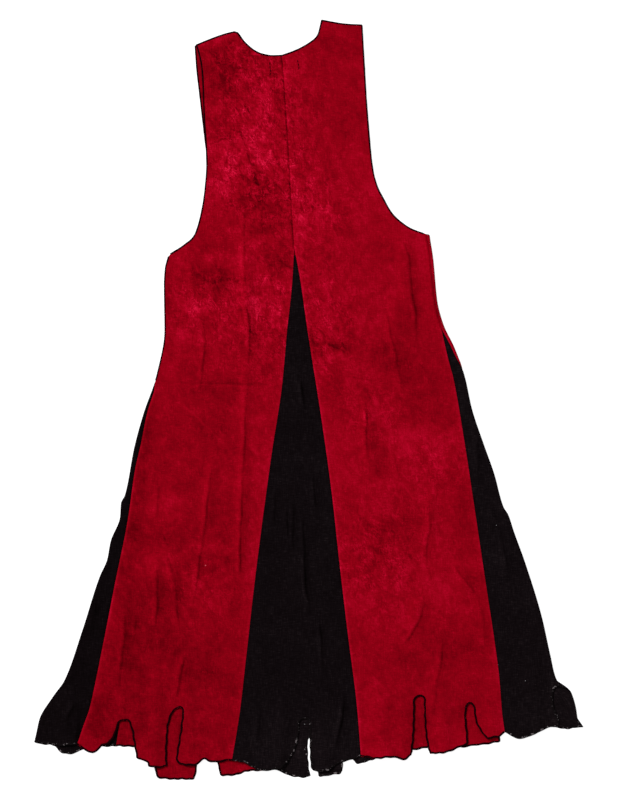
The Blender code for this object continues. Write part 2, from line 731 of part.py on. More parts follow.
def cloth_material(name, colour):
    material = bpy.data.materials.new(name)
    material.use_nodes = True
    shader = material.node_tree.nodes["Principled BSDF"]
    shader.inputs["Base Color"].default_value = (*colour, 1.0)
    shader.inputs["Roughness"].default_value = 0.9
    shader.inputs["Metallic"].default_value = 0.0
    return material


def make_piece(name, outline, side, start, colour, collection):
    """One cut piece as a wall of cloth."""
    piece = bpy.data.objects.new(name, surface(name, outline, side, start))
    collection.objects.link(piece)
    piece.data.materials.append(cloth_material(name + "_linen", colour))
    piece.data.shade_smooth()
    piece.data.set_sharp_from_angle(angle=math.radians(SHARP_EDGE))
    return piece


def main():
    for thing in list(bpy.data.objects):
        bpy.data.objects.remove(thing)
    dress = bpy.data.collections.new("sarafan_dress")
    bpy.context.scene.collection.children.link(dress)
    make_piece("back_panel_left", back_panel_left(), LEFT, UPPER, RED, dress)
    make_piece("back_panel_right", back_panel_right(), RIGHT, UPPER, RED, dress)
    make_piece("back_gore", back_gore(), None, UPPER, BLACK, dress)
    make_piece("front_panel_left", front_panel_left(), LEFT, LOWER, RED, dress)
    make_piece("front_panel_right", front_panel_right(), RIGHT, LOWER, RED, dress)
    make_piece("front_gore", front_gore(), None, LOWER, BLACK, dress)
    make_piece("side_gore_left", side_gore_left(), LEFT, UPPER, BLACK, dress)
    make_piece("side_gore_right", side_gore_right(), RIGHT, UPPER, BLACK, dress)


main()
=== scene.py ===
import math
from collections import namedtuple

import bmesh
import bpy
import numpy as np
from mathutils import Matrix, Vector
from mathutils.geometry import delaunay_2d_cdt
from mathutils.kdtree import KDTree


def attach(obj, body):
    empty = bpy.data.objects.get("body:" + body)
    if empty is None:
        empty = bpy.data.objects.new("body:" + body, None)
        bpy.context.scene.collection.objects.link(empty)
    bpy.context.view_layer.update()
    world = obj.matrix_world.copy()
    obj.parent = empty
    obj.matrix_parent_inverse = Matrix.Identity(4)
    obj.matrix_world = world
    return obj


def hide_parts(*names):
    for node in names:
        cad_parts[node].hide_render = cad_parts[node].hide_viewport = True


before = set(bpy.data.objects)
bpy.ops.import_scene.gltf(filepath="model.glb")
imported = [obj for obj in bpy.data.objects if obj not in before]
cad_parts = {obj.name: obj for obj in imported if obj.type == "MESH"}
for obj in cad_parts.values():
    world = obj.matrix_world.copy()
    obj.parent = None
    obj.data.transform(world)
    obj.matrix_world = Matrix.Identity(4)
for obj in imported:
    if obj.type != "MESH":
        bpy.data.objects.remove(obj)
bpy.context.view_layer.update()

# A sarafan dress laid flat, back uppermost. The tables are in millimetres: across is measured to
# the right of the middle, and down from the highest point of the shoulders.

layout = {
    "length": 1253.0,      # shoulder to lowest hem
    "solidCloth": 1.2,     # wall of the solids
    "cloth": 0.95,         # wall of the shells
    "layerGap": 0.5,
    "turnRadius": 2.2,     # of the side gores round the side edges
    "turnRelax": 16.0,     # how far in from the edge the layers lie close again
    "seamGap": -0.08,      # below nought, so that neighbours just meet
    "goreTipDrop": 12.0,
    "liftTop": 1098.0,     # the hem stands off the surface from here
    "liftFull": 1236.0,
    "foldTaper": 0.3,      # share of a fold's length in which each end dies away
    "creaseTaper": 0.3,
    "creaseGain": 1.3,
    "wobble": 0.9,         # small waves of the hem
    "rumple": 0.16,        # low swell of the back
    "settle": 0.2,         # how far the swell is let down, so that the cloth lies on the front
    "crumpleBase": 0.24,   # how crumpled the cloth is everywhere
    "turnShade": 0.75,     # how wide the painted shade on the side edge is, in turn radii
}
meshing = {
    "step": 4.6,           # spacing on the back
    "frontStep": 6.5,      # spacing on the front, which is mostly hidden
    "rowShare": 0.866,     # between the rows of a grid of even triangles
    "gridClear": 0.45,     # in steps, between the grid and the rows of points
    "pastTurn": 0.6,       # in steps, between the grid and the lines that follow the side edge
    "turnRows": (1.8, 4.0, 7.0, 11.0),  # lines beside the turn of the side edge
    "weld": 0.08,          # nearer points of an outline are one
    "edgeStep": 1.5,       # spacing along the overlocked edges
    "edgeClear": 3.2,
    "insets": (1.5, 3.8),  # rows of points inside each edge
    "insetClear": 0.7,
    "creaseStep": 3.4,
    "creaseGap": 0.8,      # between the points of a crease and other points
    "creaseClear": 4.5,    # between the points of a crease and the edge
    "probe": 0.3,          # how far to each side the cloth's slope is taken
    "creaseParts": (-2.4, -1.6, -0.9, -0.4, 0.0, 0.4, 0.9),  # rows beside a crease, in half widths
}

upper, lower, turn = "upper", "lower", "turn"
left, right = -1, 1

rowAt = namedtuple("rowAt", "down across")
notchAt = namedtuple("notchAt", "leftLip crown width rightLip")  # each place is (across, down)
slotAt = namedtuple("slotAt", "path")
foldAt = namedtuple("foldAt", "across down toAcross toDown halfWidth height")
creaseAt = namedtuple("creaseAt", "path halfWidth height shade")
liftAt = namedtuple("liftAt", "across halfWidth height")
cloudAt = namedtuple("cloudAt", "across down halfAcross halfDown strength")


def table(kind, *rows):
    return tuple(kind(*row) for row in rows)


# The side edges, a row for each section where the edge changes its lean
leftEdge = table(
    rowAt, (390, -232), (411, -237), (437, -238.5), (512, -237.5), (583, -250), (650, -273), (705, -288),
    (784, -303.5), (797, -310), (820, -311.5), (860, -327), (891, -333), (918, -345), (1008, -374),
    (1089, -403), (1116, -422), (1152, -444), (1178, -450), (1191, -453),
)
rightEdge = table(
    rowAt, (354, 199), (396, 205.5), (464, 212), (502, 222), (541, 240.5), (589, 257.5), (641, 269),
    (701, 289), (749, 306), (803, 321), (816, 329), (843, 338), (894, 356.5), (985, 384.5), (1048, 398.5),
    (1089, 409), (1098, 422), (1108, 432), (1134, 440.5), (1155, 444), (1166, 453),
)

# The seams of the back
backCentre = table(rowAt, (58, -44), (140, -38), (236, -32), (314, -28), (376, -24))
backGoreLeft = table(
    rowAt, (376, -24), (439, -28), (513, -36), (601, -44), (720, -62), (924, -89), (1056, -104),
    (1142, -114), (1221, -127),
)
backGoreRight = table(
    rowAt, (376, -24), (429, -14), (506, -3), (659, 21), (782, 38), (891, 50), (1018, 65), (1128, 79),
    (1215, 86),
)
backSideLeft = table(
    rowAt, (612, -255), (650, -267), (700, -277), (739, -286), (827, -299), (931, -320), (1018, -337),
    (1097, -353), (1137, -362), (1162, -371), (1195, -382),
)
backSideRight = table(
    rowAt, (508, 218), (560, 230), (594, 239), (692, 256), (810, 274), (924, 291), (1023, 306), (1084, 314),
    (1145, 319), (1174, 323),
)

# The seams of the front, which lies a little to the right of the back towards the hem
frontCentre = table(rowAt, (214, -41), (300, -27), (400, -15))
frontGoreLeft = table(rowAt, (400, -15), (600, -29), (800, -45), (1000, -60), (1238, -76))
frontGoreRight = table(rowAt, (400, -15), (600, 16), (800, 52), (1000, 89), (1212, 126))
frontSideLeft = table(rowAt, (522, -235), (600, -240), (700, -252), (900, -277), (1050, -297), (1198, -318))
frontSideRight = table(
    rowAt, (594, 248), (700, 268), (800, 291), (900, 313), (1000, 335), (1100, 357), (1170, 376),
)
# The right side seam runs up on the back, just inside the edge
rightSeamAboveGore = table(rowAt, (353, 193), (396, 200), (464, 207), (508, 218))
rightSeamBesideGore = table(rowAt, (508, 218), (529, 229.5), (558, 243.5))

# How far down the left gore's tip lies on the edge, and where each side seam turns over it
leftGoreTip = 504.0
leftSeamTurns = 594.0
rightSeamTurns = 576.0

# Neck, shoulders and armholes, as smooth curves through these places, each (across, down)
backShoulderLeft = ((-186, 41), (-164, 32), (-142, 24), (-123, 19))
backNeck = (
    (-117, 21), (-104, 38), (-86, 52), (-66, 58), (-44, 58), (-20, 49), (3, 36), (14, 25), (19, 8), (21, 0),
)
backNeckMiddle = 4
backShoulderRight = ((21, 0), (56, 6), (88, 8))
backArmRight = (
    (88, 8), (91, 60), (96, 142), (104, 233), (112, 271), (124, 296), (140, 322), (165, 342), (190, 352.3),
)
backArmLeft = (
    (-186, 41), (-180, 62), (-176, 90), (-173, 160), (-169, 226), (-170, 262), (-176, 310), (-188, 353),
    (-206, 371), (-229, 386),
)
frontArmLeft = (
    (-188, 43), (-185, 83), (-180, 126), (-172, 195), (-165, 248), (-164, 290), (-173, 332), (-190, 364),
    (-208, 380), (-229, 391.5),
)
frontArmRight = (
    (85, 9), (86, 66), (89, 140), (94, 231), (103, 276), (116, 304), (144, 336), (170, 350), (196, 356),
)
frontShoulderLeft = ((-188, 43), (-164, 33), (-142, 25), (-124, 20.5))
frontNeck = (
    (-119, 22), (-118, 66), (-112, 115), (-97, 165), (-70, 201), (-41, 214), (-16, 203), (6, 172),
    (21, 122), (27, 66), (24, 2),
)
frontNeckMiddle = 5
frontShoulderRight = ((24, 2), (56, 7), (85, 9))

# Hems, left to right: points along the edge, and the slots cut up into it
backHemLeftGore = ((-434, 1193), (-410, 1196), (-382, 1195))
backHemLeft = (
    (-382, 1195), (-371, 1202), (-362, 1208), (-354, 1209),
    slotAt(((-341, 1197), (-331, 1193), (-323, 1185), (-318, 1174), (-314.5, 1163.5), (-310, 1157),
        (-303.5, 1155), (-297.5, 1157), (-294, 1164), (-291, 1175), (-289, 1188), (-286.5, 1201),
        (-285, 1211))),
    (-282, 1219), (-267, 1223), (-264, 1229.5), (-257, 1232), (-244, 1233),
    slotAt(((-234, 1231), (-234.5, 1216), (-234.5, 1201), (-233.5, 1185), (-232.5, 1168),
        (-230.5, 1157.5), (-227.5, 1148), (-223, 1140.5), (-218.5, 1136), (-213.5, 1134), (-209.5, 1137),
        (-208, 1143), (-209.5, 1155), (-211.5, 1172), (-214.5, 1190), (-217, 1205), (-218.5, 1218),
        (-215, 1226))),
    (-208, 1229), (-186, 1228), (-172, 1219), (-160, 1224), (-127, 1221),
)
backHemGore = (
    (-127, 1221), (-108, 1224), (-84, 1236), (-49, 1235), notchAt((-41, 1228), (-7.5, 1152), 18, (4, 1232)),
    (10, 1239), (28, 1238), (50, 1226), (86, 1215),
)
backHemRight = (
    (86, 1215), (114, 1218), (140, 1216), (158, 1220), notchAt((169, 1213), (182.5, 1115), 16, (200, 1211)),
    (230, 1207), (252, 1198),
    slotAt(((262, 1193), (262, 1184), (261, 1171), (259.5, 1158), (259, 1146), (259.5, 1136),
        (262.5, 1130), (266, 1128), (269.5, 1130), (272.5, 1137), (273.5, 1145), (274.5, 1153.5),
        (277.5, 1162), (285, 1175), (293, 1185))),
    (307, 1183.5), (316, 1182), (323, 1174),
)
backHemRightGore = ((323, 1174), (345, 1185), (364, 1181), (386, 1171), (398, 1166))
rightTurnNotch = ((411, 1165), (411, 1152), (404, 1134), (402, 1114), (405, 1103), (411, 1099))
rightTurnLip = (1104.0, 1120.0, 1136.0, 1152.0)
frontHemLeftGore = (
    (-437, 1195), (-419, 1197), (-411, 1206), (-396, 1211), (-384, 1208), (-370, 1201),
    notchAt((-365, 1199), (-357, 1140), 14, (-349, 1197)), (-340, 1198), (-318, 1198),
)
frontHemLeft = (
    (-318, 1198), (-300, 1198), (-286, 1199), notchAt((-281, 1200), (-268, 1120), 18, (-255, 1230)),
    (-249, 1249), (-230, 1252), (-196, 1253), notchAt((-189, 1251), (-168, 1140), 24, (-147, 1238)),
    (-144, 1246), (-124, 1246), (-104, 1240), (-76, 1238),
)
frontHemGore = (
    (-76, 1238), (-50, 1238), (-33, 1246), (-18, 1249), (-6, 1249),
    notchAt((2, 1246), (7, 1181), 19, (15, 1240)), (19, 1248), (38, 1244), (50, 1244),
    notchAt((55, 1238), (64, 1150), 15, (73, 1219)), (81, 1227), (96, 1223), (126, 1212),
)
frontHemRight = (
    (126, 1212), (138, 1209), notchAt((142, 1209), (150, 1120), 16, (158, 1207)), (172, 1204), (198, 1200),
    (216, 1200), notchAt((221, 1199), (230, 1115), 18, (240, 1199)), (266, 1198), (308, 1192),
    notchAt((315, 1190), (325, 1110), 18, (335, 1173)), (350, 1174), (376, 1170),
)
frontHemRightGore = ((376, 1170), (396, 1165), (411, 1167), (425, 1170), (442, 1166))

# The largest folds of the upper layer, as on the solids
folds = table(
    foldAt, (-104, 352, -101, 560, 17, 3.4), (-102, 545, -106, 700, 15, 2.6),
    (-106, 690, -113, 930, 18, 3.6), (-154, 690, -173, 866, 16, 3.0), (-206, 408, -124, 440, 15, 2.4),
    (-250, 870, -250, 990, 15, 2.4), (-234, 890, -213, 985, 15, 2.6), (154, 345, 162, 500, 17, 3.2),
    (162, 485, 177, 560, 15, 2.4), (138, 432, 145, 590, 16, 2.8), (95, 612, 104, 756, 17, 3.0),
    (200, 770, 200, 862, 16, 2.4), (238, 886, 268, 948, 15, 2.4), (188, 946, 166, 1012, 15, 2.6),
    (-14, 590, -16, 662, 13, 2.0), (-27, 830, -4, 935, 16, 2.4), (279, 668, 281, 766, 15, 2.6),
    (325, 848, 328, 932, 16, 2.6), (-306, 980, -300, 1108, 16, 2.8), (-390, 1090, -404, 1290, 22, 3.0),
    (-322, 1130, -336, 1290, 20, 3.6), (-250, 1060, -262, 1300, 22, 4.2), (-206, 1040, -190, 1300, 20, 4.4),
    (-120, 1110, -104, 1310, 26, 3.4), (-40, 1090, -52, 1310, 22, 3.8), (26, 1120, 30, 1300, 22, 3.2),
    (112, 1080, 128, 1300, 26, 3.4), (217, 1050, 222, 1290, 22, 4.0), (300, 1090, 306, 1260, 22, 3.2),
    (366, 1040, 380, 1250, 24, 3.6),
)
# Where the hem stands off the surface, both layers together
hemLifts = table(
    liftAt, (-396, 44, 3.6), (-262, 46, 3.0), (-160, 50, 4.2), (-66, 44, 2.8), (40, 46, 3.8),
    (150, 50, 4.4), (245, 44, 3.0), (340, 48, 4.0),
)

# Smaller creases of the back: the way each one runs, and how much painted shade lies along it; below nought
# it is a painted light line instead
creases = table(
    creaseAt, (((-115, 170), (-109, 196), (-100, 222), (-91, 253), (-87, 279)), 4, 0.8, 0.55),
    (((-66, 196), (-61, 214), (-51, 231), (-46, 249)), 3.5, 0.7, 0.5),
    (((-133, 207), (-135, 227), (-139, 249)), 4, 0.7, 0.45),
    (((-124, 131), (-104, 144), (-87, 166)), 3.5, 0.6, 0.45),
    (((-161, 192), (-139, 199), (-112, 192)), 4, 0.7, 0.5), (((-100, 262), (-78, 275)), 3.5, 0.5, 0.5),
    (((-98, 79), (-74, 97), (-57, 114)), 3.5, 0.5, -0.35), (((-13, 218), (2, 212), (17, 216)), 3, 0.4, 0.4),
    (((-171, 46), (-157, 60), (-143, 69)), 4, 0.6, 0.5),
    (((-107, 279), (-105, 314), (-107, 378), (-102, 470)), 4, 0.8, 0.4),
    (((-104, 455), (-99, 495), (-97, 525), (-98, 575)), 3.5, 1.0, 0.85),
    (((-98, 556), (-103, 640), (-105, 680), (-112, 830), (-113, 909)), 4, 0.8, 0.6),
    (((-222, 411), (-193, 417), (-170, 427)), 6, 0.9, 0.45),
    (((-182, 425), (-160, 434), (-137, 429), (-112, 433)), 6, 0.9, 0.45),
    (((-245, 594), (-190, 600), (-130, 599), (-48, 603)), 3.5, 0.3, 0.4),
    (((-110, 835), (-114, 880), (-112, 928)), 4, 0.8, 0.6),
    (((-169, 515), (-172, 550), (-176, 580), (-181, 625)), 3.5, 0.7, 0.6),
    (((-153, 700), (-158, 726), (-167, 800), (-176, 870), (-184, 926), (-197, 995)), 4, 0.8, 0.55),
    (((-235, 618), (-183, 656), (-145, 693), (-115, 735)), 4.5, 0.6, -0.35),
    (((-104, 693), (-78, 724)), 4, 0.5, -0.3), (((-249, 761), (-249, 822)), 4, 0.6, 0.4),
    (((-241, 848), (-232, 872)), 4, 0.6, 0.5), (((-249, 878), (-249, 952), (-254, 1013)), 4.5, 0.9, 0.55),
    (((-238, 868), (-219, 934), (-214, 1013)), 4, 0.8, 0.5),
    (((-203, 1040), (-212, 1091), (-219, 1129)), 5, 1.1, 0.75),
    (((-301, 952), (-305, 1030), (-314, 1117)), 4.5, 0.8, 0.45), (((-284, 978), (-288, 1032)), 4, 0.5, 0.3),
    (((-351, 957), (-358, 1023)), 4.5, 0.6, 0.3),
    (((147, 355), (160, 374), (166, 396), (170, 440), (176, 483), (179, 548)), 4, 0.9, 0.65),
    (((128, 470), (136, 520), (144, 558), (159, 622)), 4, 0.7, 0.45),
    (((91, 612), (95, 641), (95, 693), (101, 740)), 4, 0.9, 0.65),
    (((56, 586), (84, 592), (112, 597)), 3, 0.4, 0.45),
    (((17, 527), (40, 539), (63, 551), (75, 557)), 4, 0.8, 0.7),
    (((19, 530), (21, 552), (33, 574), (46, 587)), 4, 0.6, 0.45), (((57, 723), (95, 761)), 4, 0.5, -0.3),
    (((132, 693), (155, 768)), 4, 0.5, 0.3),
    (((198, 775), (200, 830), (194, 883), (203, 936)), 4, 0.7, 0.45),
    (((237, 897), (259, 926), (277, 950)), 4, 0.8, 0.5),
    (((277, 945), (288, 985), (293, 1030)), 4, 0.5, 0.3),
    (((192, 955), (183, 990), (168, 1018), (154, 1034)), 4, 0.9, 0.6),
    (((221, 1010), (220, 1058), (211, 1099), (205, 1155)), 4.5, 0.8, 0.45),
    (((232, 1010), (229, 1060), (219, 1100)), 4.5, 0.5, -0.3), (((111, 1099), (137, 1145)), 4, 0.5, 0.3),
    (((81, 811), (98, 850)), 4, 0.4, 0.3), (((-13, 588), (-10, 615), (-5, 648)), 3.5, 1.0, 1.0),
    (((-36, 800), (-35, 830), (-32, 860)), 3.5, 0.8, 0.5),
    (((-25, 790), (-26, 830), (-25, 876)), 3.5, 0.9, 0.8),
    (((-10, 800), (-8, 865), (-5, 926), (3, 996)), 3.5, 1.0, 0.9),
    (((-54, 775), (-58, 835)), 3.5, 0.7, 0.4), (((18, 985), (21, 1034), (25, 1085)), 3.5, 1.0, 0.8),
    (((60, 1105), (57, 1139), (51, 1172), (46, 1208)), 4, 1.0, 0.9),
    (((-44, 655), (-10, 656), (20, 657)), 3, 0.2, 0.4), (((7, 742), (9, 780), (11, 818)), 3.5, 0.6, 0.5),
    (((-80, 1132), (-84, 1200)), 5, 0.9, 0.5), (((297, 803), (317, 830)), 4, 0.7, 0.5),
    (((314, 830), (321, 868), (329, 916)), 4, 0.9, 0.5), (((279, 685), (280, 756)), 4, 0.8, 0.4),
    (((-386, 1122), (-402, 1166)), 4.5, 0.8, 0.5), (((-379, 1140), (-383, 1197)), 4.5, 0.9, 0.5),
)

# Clouds of lighter and darker red on the back of the red panels: uneven dye, and painted shade and painted
# light where folds lie
toneClouds = table(
    cloudAt, (-76, 153, 62, 100, 0.6), (-118, 248, 60, 52, 0.65), (-35, 264, 32, 36, 0.6),
    (-137, 112, 16, 22, -0.6), (-146, 170, 10, 14, -0.6), (-151, 149, 10, 12, 0.6),
    (-130, 56, 50, 34, -0.5), (-155, 116, 30, 48, -0.6), (-66, 318, 32, 70, -0.65),
    (-97, 270, 20, 46, -0.8), (35, 152, 66, 92, -0.3), (2, 310, 46, 60, 0.55), (76, 325, 60, 34, -0.1),
    (-155, 427, 72, 18, -0.5), (-52, 400, 27, 22, -0.6), (-180, 474, 36, 22, 0.5), (-72, 480, 34, 58, 0.5),
    (-204, 523, 28, 22, 0.4), (-152, 619, 50, 34, -0.45), (27, 495, 28, 48, 0.3), (43, 557, 27, 24, 0.3),
    (51, 540, 32, 9, -0.7), (167, 512, 18, 92, -0.25), (183, 619, 56, 60, -0.35), (109, 644, 14, 26, 0.6),
    (167, 685, 42, 24, 0.5), (203, 730, 34, 28, 0.4), (-168, 668, 42, 36, -0.3), (-250, 784, 46, 44, 0.35),
    (-138, 833, 46, 44, -0.2), (-287, 845, 18, 36, -0.4), (-259, 891, 40, 22, 0.4),
    (-171, 941, 36, 34, 0.35), (-97, 886, 15, 60, 0.5), (-303, 977, 22, 70, -0.4),
    (-130, 1006, 50, 26, 0.25), (-221, 1043, 46, 30, -0.4), (-163, 1084, 46, 34, -0.4),
    (-348, 1145, 32, 52, -0.75), (121, 804, 46, 46, 0.15), (159, 817, 26, 34, -0.35),
    (121, 903, 46, 44, 0.2), (216, 936, 46, 32, 0.45), (253, 817, 22, 58, -0.35), (96, 974, 28, 36, 0.4),
    (178, 1051, 66, 36, -0.35), (253, 1031, 34, 36, -0.3), (109, 1114, 36, 26, 0.2),
    (-90, 740, 24, 60, 0.25), (60, 700, 26, 60, 0.2), (-215, 1180, 110, 60, -0.35),
    (-40, 350, 16, 60, -0.35), (-14, 335, 8, 50, 0.55), (-52, 92, 9, 30, -0.5), (-31, 80, 14, 22, 0.45),
    (-120, 90, 40, 60, -0.3), (-60, 240, 90, 200, -0.12), (-200, 900, 150, 330, -0.45),
    (190, 930, 130, 300, -0.15), (190, 560, 70, 160, -0.2), (-98, 400, 38, 30, 0.75),
    (-34, 100, 15, 100, -0.3), (45, 42, 54, 42, -0.35), (-153, 135, 25, 40, 0.3),
    (-134, 195, 36, 20, -0.25), (-34, 274, 16, 24, -0.65), (5, 274, 18, 20, 0.4), (8, 532, 16, 40, -0.55),
    (42, 610, 20, 60, -0.5), (203, 410, 30, 40, 0.25), (-272, 692, 18, 40, -0.5), (-173, 868, 36, 20, 0.3),
    (55, 760, 36, 36, 0.35), (92, 915, 40, 60, -0.35), (203, 868, 30, 26, 0.3), (-127, 978, 36, 32, -0.25),
    (-308, 1069, 36, 60, -0.5), (188, 1145, 80, 36, -0.4), (-113, 1010, 24, 80, -0.2),
    (-311, 908, 26, 40, -0.35), (-15, 314, 24, 16, -0.3), (86, 36, 22, 36, -0.35), (-153, 76, 26, 18, -0.3),
    (40, 430, 44, 24, 0.4), (84, 545, 24, 26, -0.35), (44, 592, 20, 24, -0.3), (124, 560, 22, 70, -0.25),
    (165, 551, 18, 30, 0.25), (-238, 1026, 30, 24, -0.35), (-275, 660, 16, 30, -0.3),
    (-275, 790, 16, 30, -0.35), (250, 1066, 36, 24, 0.3), (282, 1180, 24, 26, -0.4),
    (-330, 1185, 34, 26, -0.45),
)

# Where the cloth is most crumpled
crumples = (
    cloudAt(-76, 160, 70, 120, 0.9), cloudAt(-118, 250, 70, 66, 0.75), cloudAt(-35, 264, 36, 52, 0.8),
    cloudAt(8, 310, 62, 66, 0.5), cloudAt(-72, 480, 66, 110, 0.65), cloudAt(27, 500, 56, 96, 0.5),
    cloudAt(-185, 470, 62, 60, 0.55), cloudAt(121, 885, 74, 86, 0.5), cloudAt(-171, 930, 62, 62, 0.25),
    cloudAt(203, 730, 62, 52, 0.4), cloudAt(109, 644, 50, 50, 0.35), cloudAt(-120, 60, 70, 40, 0.45),
)


def line(rows):
    # across as a smooth function of down, straight on beyond the table's ends
    down = np.array([row.down for row in rows], float)
    across = np.array([row.across for row in rows], float)
    slope = np.diff(across) / np.diff(down)
    lean = np.zeros(len(down))
    lean[0], lean[-1] = slope[0], slope[-1]
    before, after = slope[:-1], slope[1:]
    same = before * after > 0
    lean[1:-1][same] = (2 * before * after)[same] / (before + after)[same]

    def at(value):
        value = np.asarray(value, float)
        i = np.clip(np.searchsorted(down, value) - 1, 0, len(down) - 2)
        span = down[i + 1] - down[i]
        t = (value - down[i]) / span
        inside = (
            (1 + 2 * t) * (1 - t) ** 2 * across[i] + t * (1 - t) ** 2 * span * lean[i]
            + t * t * (3 - 2 * t) * across[i + 1] - t * t * (1 - t) * span * lean[i + 1]
        )
        above = across[i] + lean[i] * (value - down[i])
        below = across[i + 1] + lean[i + 1] * (value - down[i + 1])
        return np.where(t < 0, above, np.where(t > 1, below, inside))

    return at


sideLines = {left: line(leftEdge), right: line(rightEdge)}
sideRows = {left: leftEdge, right: rightEdge}


def turnStart(down, side):
    rows = sideRows[side]
    edge = sideLines[side](np.clip(down, rows[0].down, rows[-1].down))
    return edge - side * layout["turnRadius"]


def unfold(across, down, layer, side, start):
    # a place on the cloth, with the cloth rolled out past the side edge
    if layer == start or side is None:
        return (across, down)
    begin, past = float(turnStart(down, side)), math.pi * layout["turnRadius"]
    if layer == turn:
        return (begin + side * past / 2, down)
    return (2 * begin + side * past - across, down)


def smoothStep(t):
    t = np.clip(t, 0.0, 1.0)
    return t * t * (3 - 2 * t)


def bell(value, width):
    return np.exp(-((value / width) ** 2))


def ridges(rows, across, down, taper):
    # summed height of the folds
    height = np.zeros(len(across))
    for fold in rows:
        runX, runY = fold.toAcross - fold.across, fold.toDown - fold.down
        fromX, fromY = across - fold.across, down - fold.down
        t = (fromX * runX + fromY * runY) / (runX * runX + runY * runY)
        aside = np.hypot(fromX - runX * t, fromY - runY * t) / fold.halfWidth
        near = (t > 0) & (t < 1) & (aside < 1)
        ends = smoothStep(t / taper) * smoothStep((1 - t) / taper)
        height += np.where(near, fold.height * ends * np.cos(np.clip(aside, 0, 1) * math.pi / 2) ** 2, 0)
    return height


def creaseForm(across, down):
    # a low ridge, with painted shade as a dark line down its shaded flank and painted light on the other
    height, tone = np.zeros(len(across)), np.zeros(len(across))
    for crease in creases:
        path = np.array(crease.path, float)
        low, high = path.min(axis=0) - 4 * crease.halfWidth, path.max(axis=0) + 4 * crease.halfWidth
        near = np.flatnonzero((across > low[0]) & (across < high[0]) & (down > low[1]) & (down < high[1]))
        if len(near) == 0:
            continue
        spots = np.stack([across[near], down[near]], axis=1)
        best, passed = np.full(len(near), 1e9), 0.0
        aside, along = np.zeros(len(near)), np.zeros(len(near))
        for a, b in zip(path, path[1:]):
            run = b - a
            size = math.hypot(run[0], run[1])
            t = np.clip((spots - a) @ run / size**2, 0, 1)
            far = np.linalg.norm(spots - a - t[:, None] * run, axis=1)
            flank = np.sign((spots[:, 0] - a[0]) * run[1] - (spots[:, 1] - a[1]) * run[0])
            closer = far < best
            best = np.where(closer, far, best)
            aside = np.where(closer, flank * far, aside)
            along = np.where(closer, passed + t * size, along)
            passed += size
        # each crease sways and fades a little, in its own way
        begin = path[0, 0] + 2 * path[0, 1]
        aside = aside / crease.halfWidth + 0.18 * np.sin(along / 17 + begin)
        aside = aside + 0.1 * np.sin(along / 7 + 2 * begin)
        taper = layout["creaseTaper"] * passed
        ends = smoothStep(along / taper) * smoothStep((passed - along) / taper)
        ends = ends * (0.8 + 0.2 * np.sin(along / 19 + 3 * begin))
        height[near] += crease.height * ends * bell(aside + 0.9, 0.8)
        dark = bell(aside, 0.4) + 0.25 * bell(aside - 1.1, 1.3)
        tone[near] += crease.shade * ends * (0.35 * bell(aside + 1.4, 0.8) - dark)
    return height, tone


def clouds(rows, across, down):
    total = np.zeros(len(across))
    for cloud in rows:
        far = np.hypot((across - cloud.across) / cloud.halfAcross, (down - cloud.down) / cloud.halfDown)
        total += cloud.strength * np.exp(-1.1 * far * far)
    return total


def liftHeight(across, down):
    rise = smoothStep((down - layout["liftTop"]) / (layout["liftFull"] - layout["liftTop"]))
    total = np.zeros(len(across))
    for lift in hemLifts:
        aside = np.clip(np.abs(across - lift.across) / lift.halfWidth, 0, 1)
        total += lift.height * rise * np.cos(aside * math.pi / 2) ** 2
    return total


def rumple(across, down):
    # low uneven swell of cloth that was washed and not pressed, never below nought
    waves = (
        np.sin(across / 23 + 1.7 * np.sin(down / 61)) * np.sin(down / 47 + 1.3 * np.sin(across / 37))
        + 0.7 * np.sin(across / 9.5 + 2.1 * np.sin(down / 29) + 0.4) * np.sin(down / 26 + 0.9)
        + 0.5 * np.sin((across + 0.6 * down) / 13 + 1.1 * np.sin(across / 31))
    )
    return layout["rumple"] * (waves + 2.2)


def upperHeight(across, down):
    flat = 2 * layout["solidCloth"] + layout["layerGap"]
    stand = np.zeros(len(across))
    for side in (left, right):
        inside = side * (turnStart(down, side) - across)
        stand = np.maximum(stand, 1 - smoothStep(inside / layout["turnRelax"]))
    extra = ridges(folds, across, down, layout["foldTaper"])
    extra = extra + layout["creaseGain"] * creaseForm(across, down)[0]
    extra = extra + rumple(across, down) - layout["settle"]
    return flat + (2 * layout["turnRadius"] - flat) * stand + (1 - stand) * extra


def place(points, side, start, depth=0.0):
    # rolled-out points in space, in metres, at a depth under the outer face
    across, down = np.asarray(points, float).T
    onUpper = np.full(len(across), start == upper)
    radius = layout["turnRadius"]
    x, turning, bend = across, np.zeros(len(across), bool), 0.0
    if side is not None:
        begin = turnStart(down, side)
        past = side * (across - begin)
        half = math.pi * radius
        turning = (past > 0) & (past < half)
        angle = np.clip(past, 0, half) / radius
        x = np.where(turning, begin + side * (radius - depth) * np.sin(angle), across)
        x = np.where(past >= half, begin - side * (past - half), x)
        onUpper = np.where(past >= half, ~onUpper, onUpper)
        bend = radius + (radius - depth) * np.cos(angle) * (1 if start == upper else -1)
    z = np.where(turning, bend, np.where(onUpper, upperHeight(x, down) - depth, depth))
    return np.stack([x, layout["length"] / 2 - down, z + liftHeight(x, down)], axis=1) / 1000


def stations(top, bottom, step):
    count = max(2, round((bottom - top) / step))
    return np.linspace(top, bottom, count + 1)


def curve(points, step):
    # points of about one spacing on a smooth curve through the given ones
    given = [Vector(point) for point in points]
    given = [2 * given[0] - given[1]] + given + [2 * given[-1] - given[-2]]
    found = []
    for a, b, c, d in zip(given, given[1:], given[2:], given[3:]):
        count = max(1, round((c - b).length / step))
        for i in range(count):
            t = i / count
            spot = 2 * b + (c - a) * t + (2 * a - 5 * b + 4 * c - d) * t**2
            found.append(tuple((spot + (3 * b - a - 3 * c + d) * t**3) / 2))
    found.append(tuple(given[-2]))
    return found


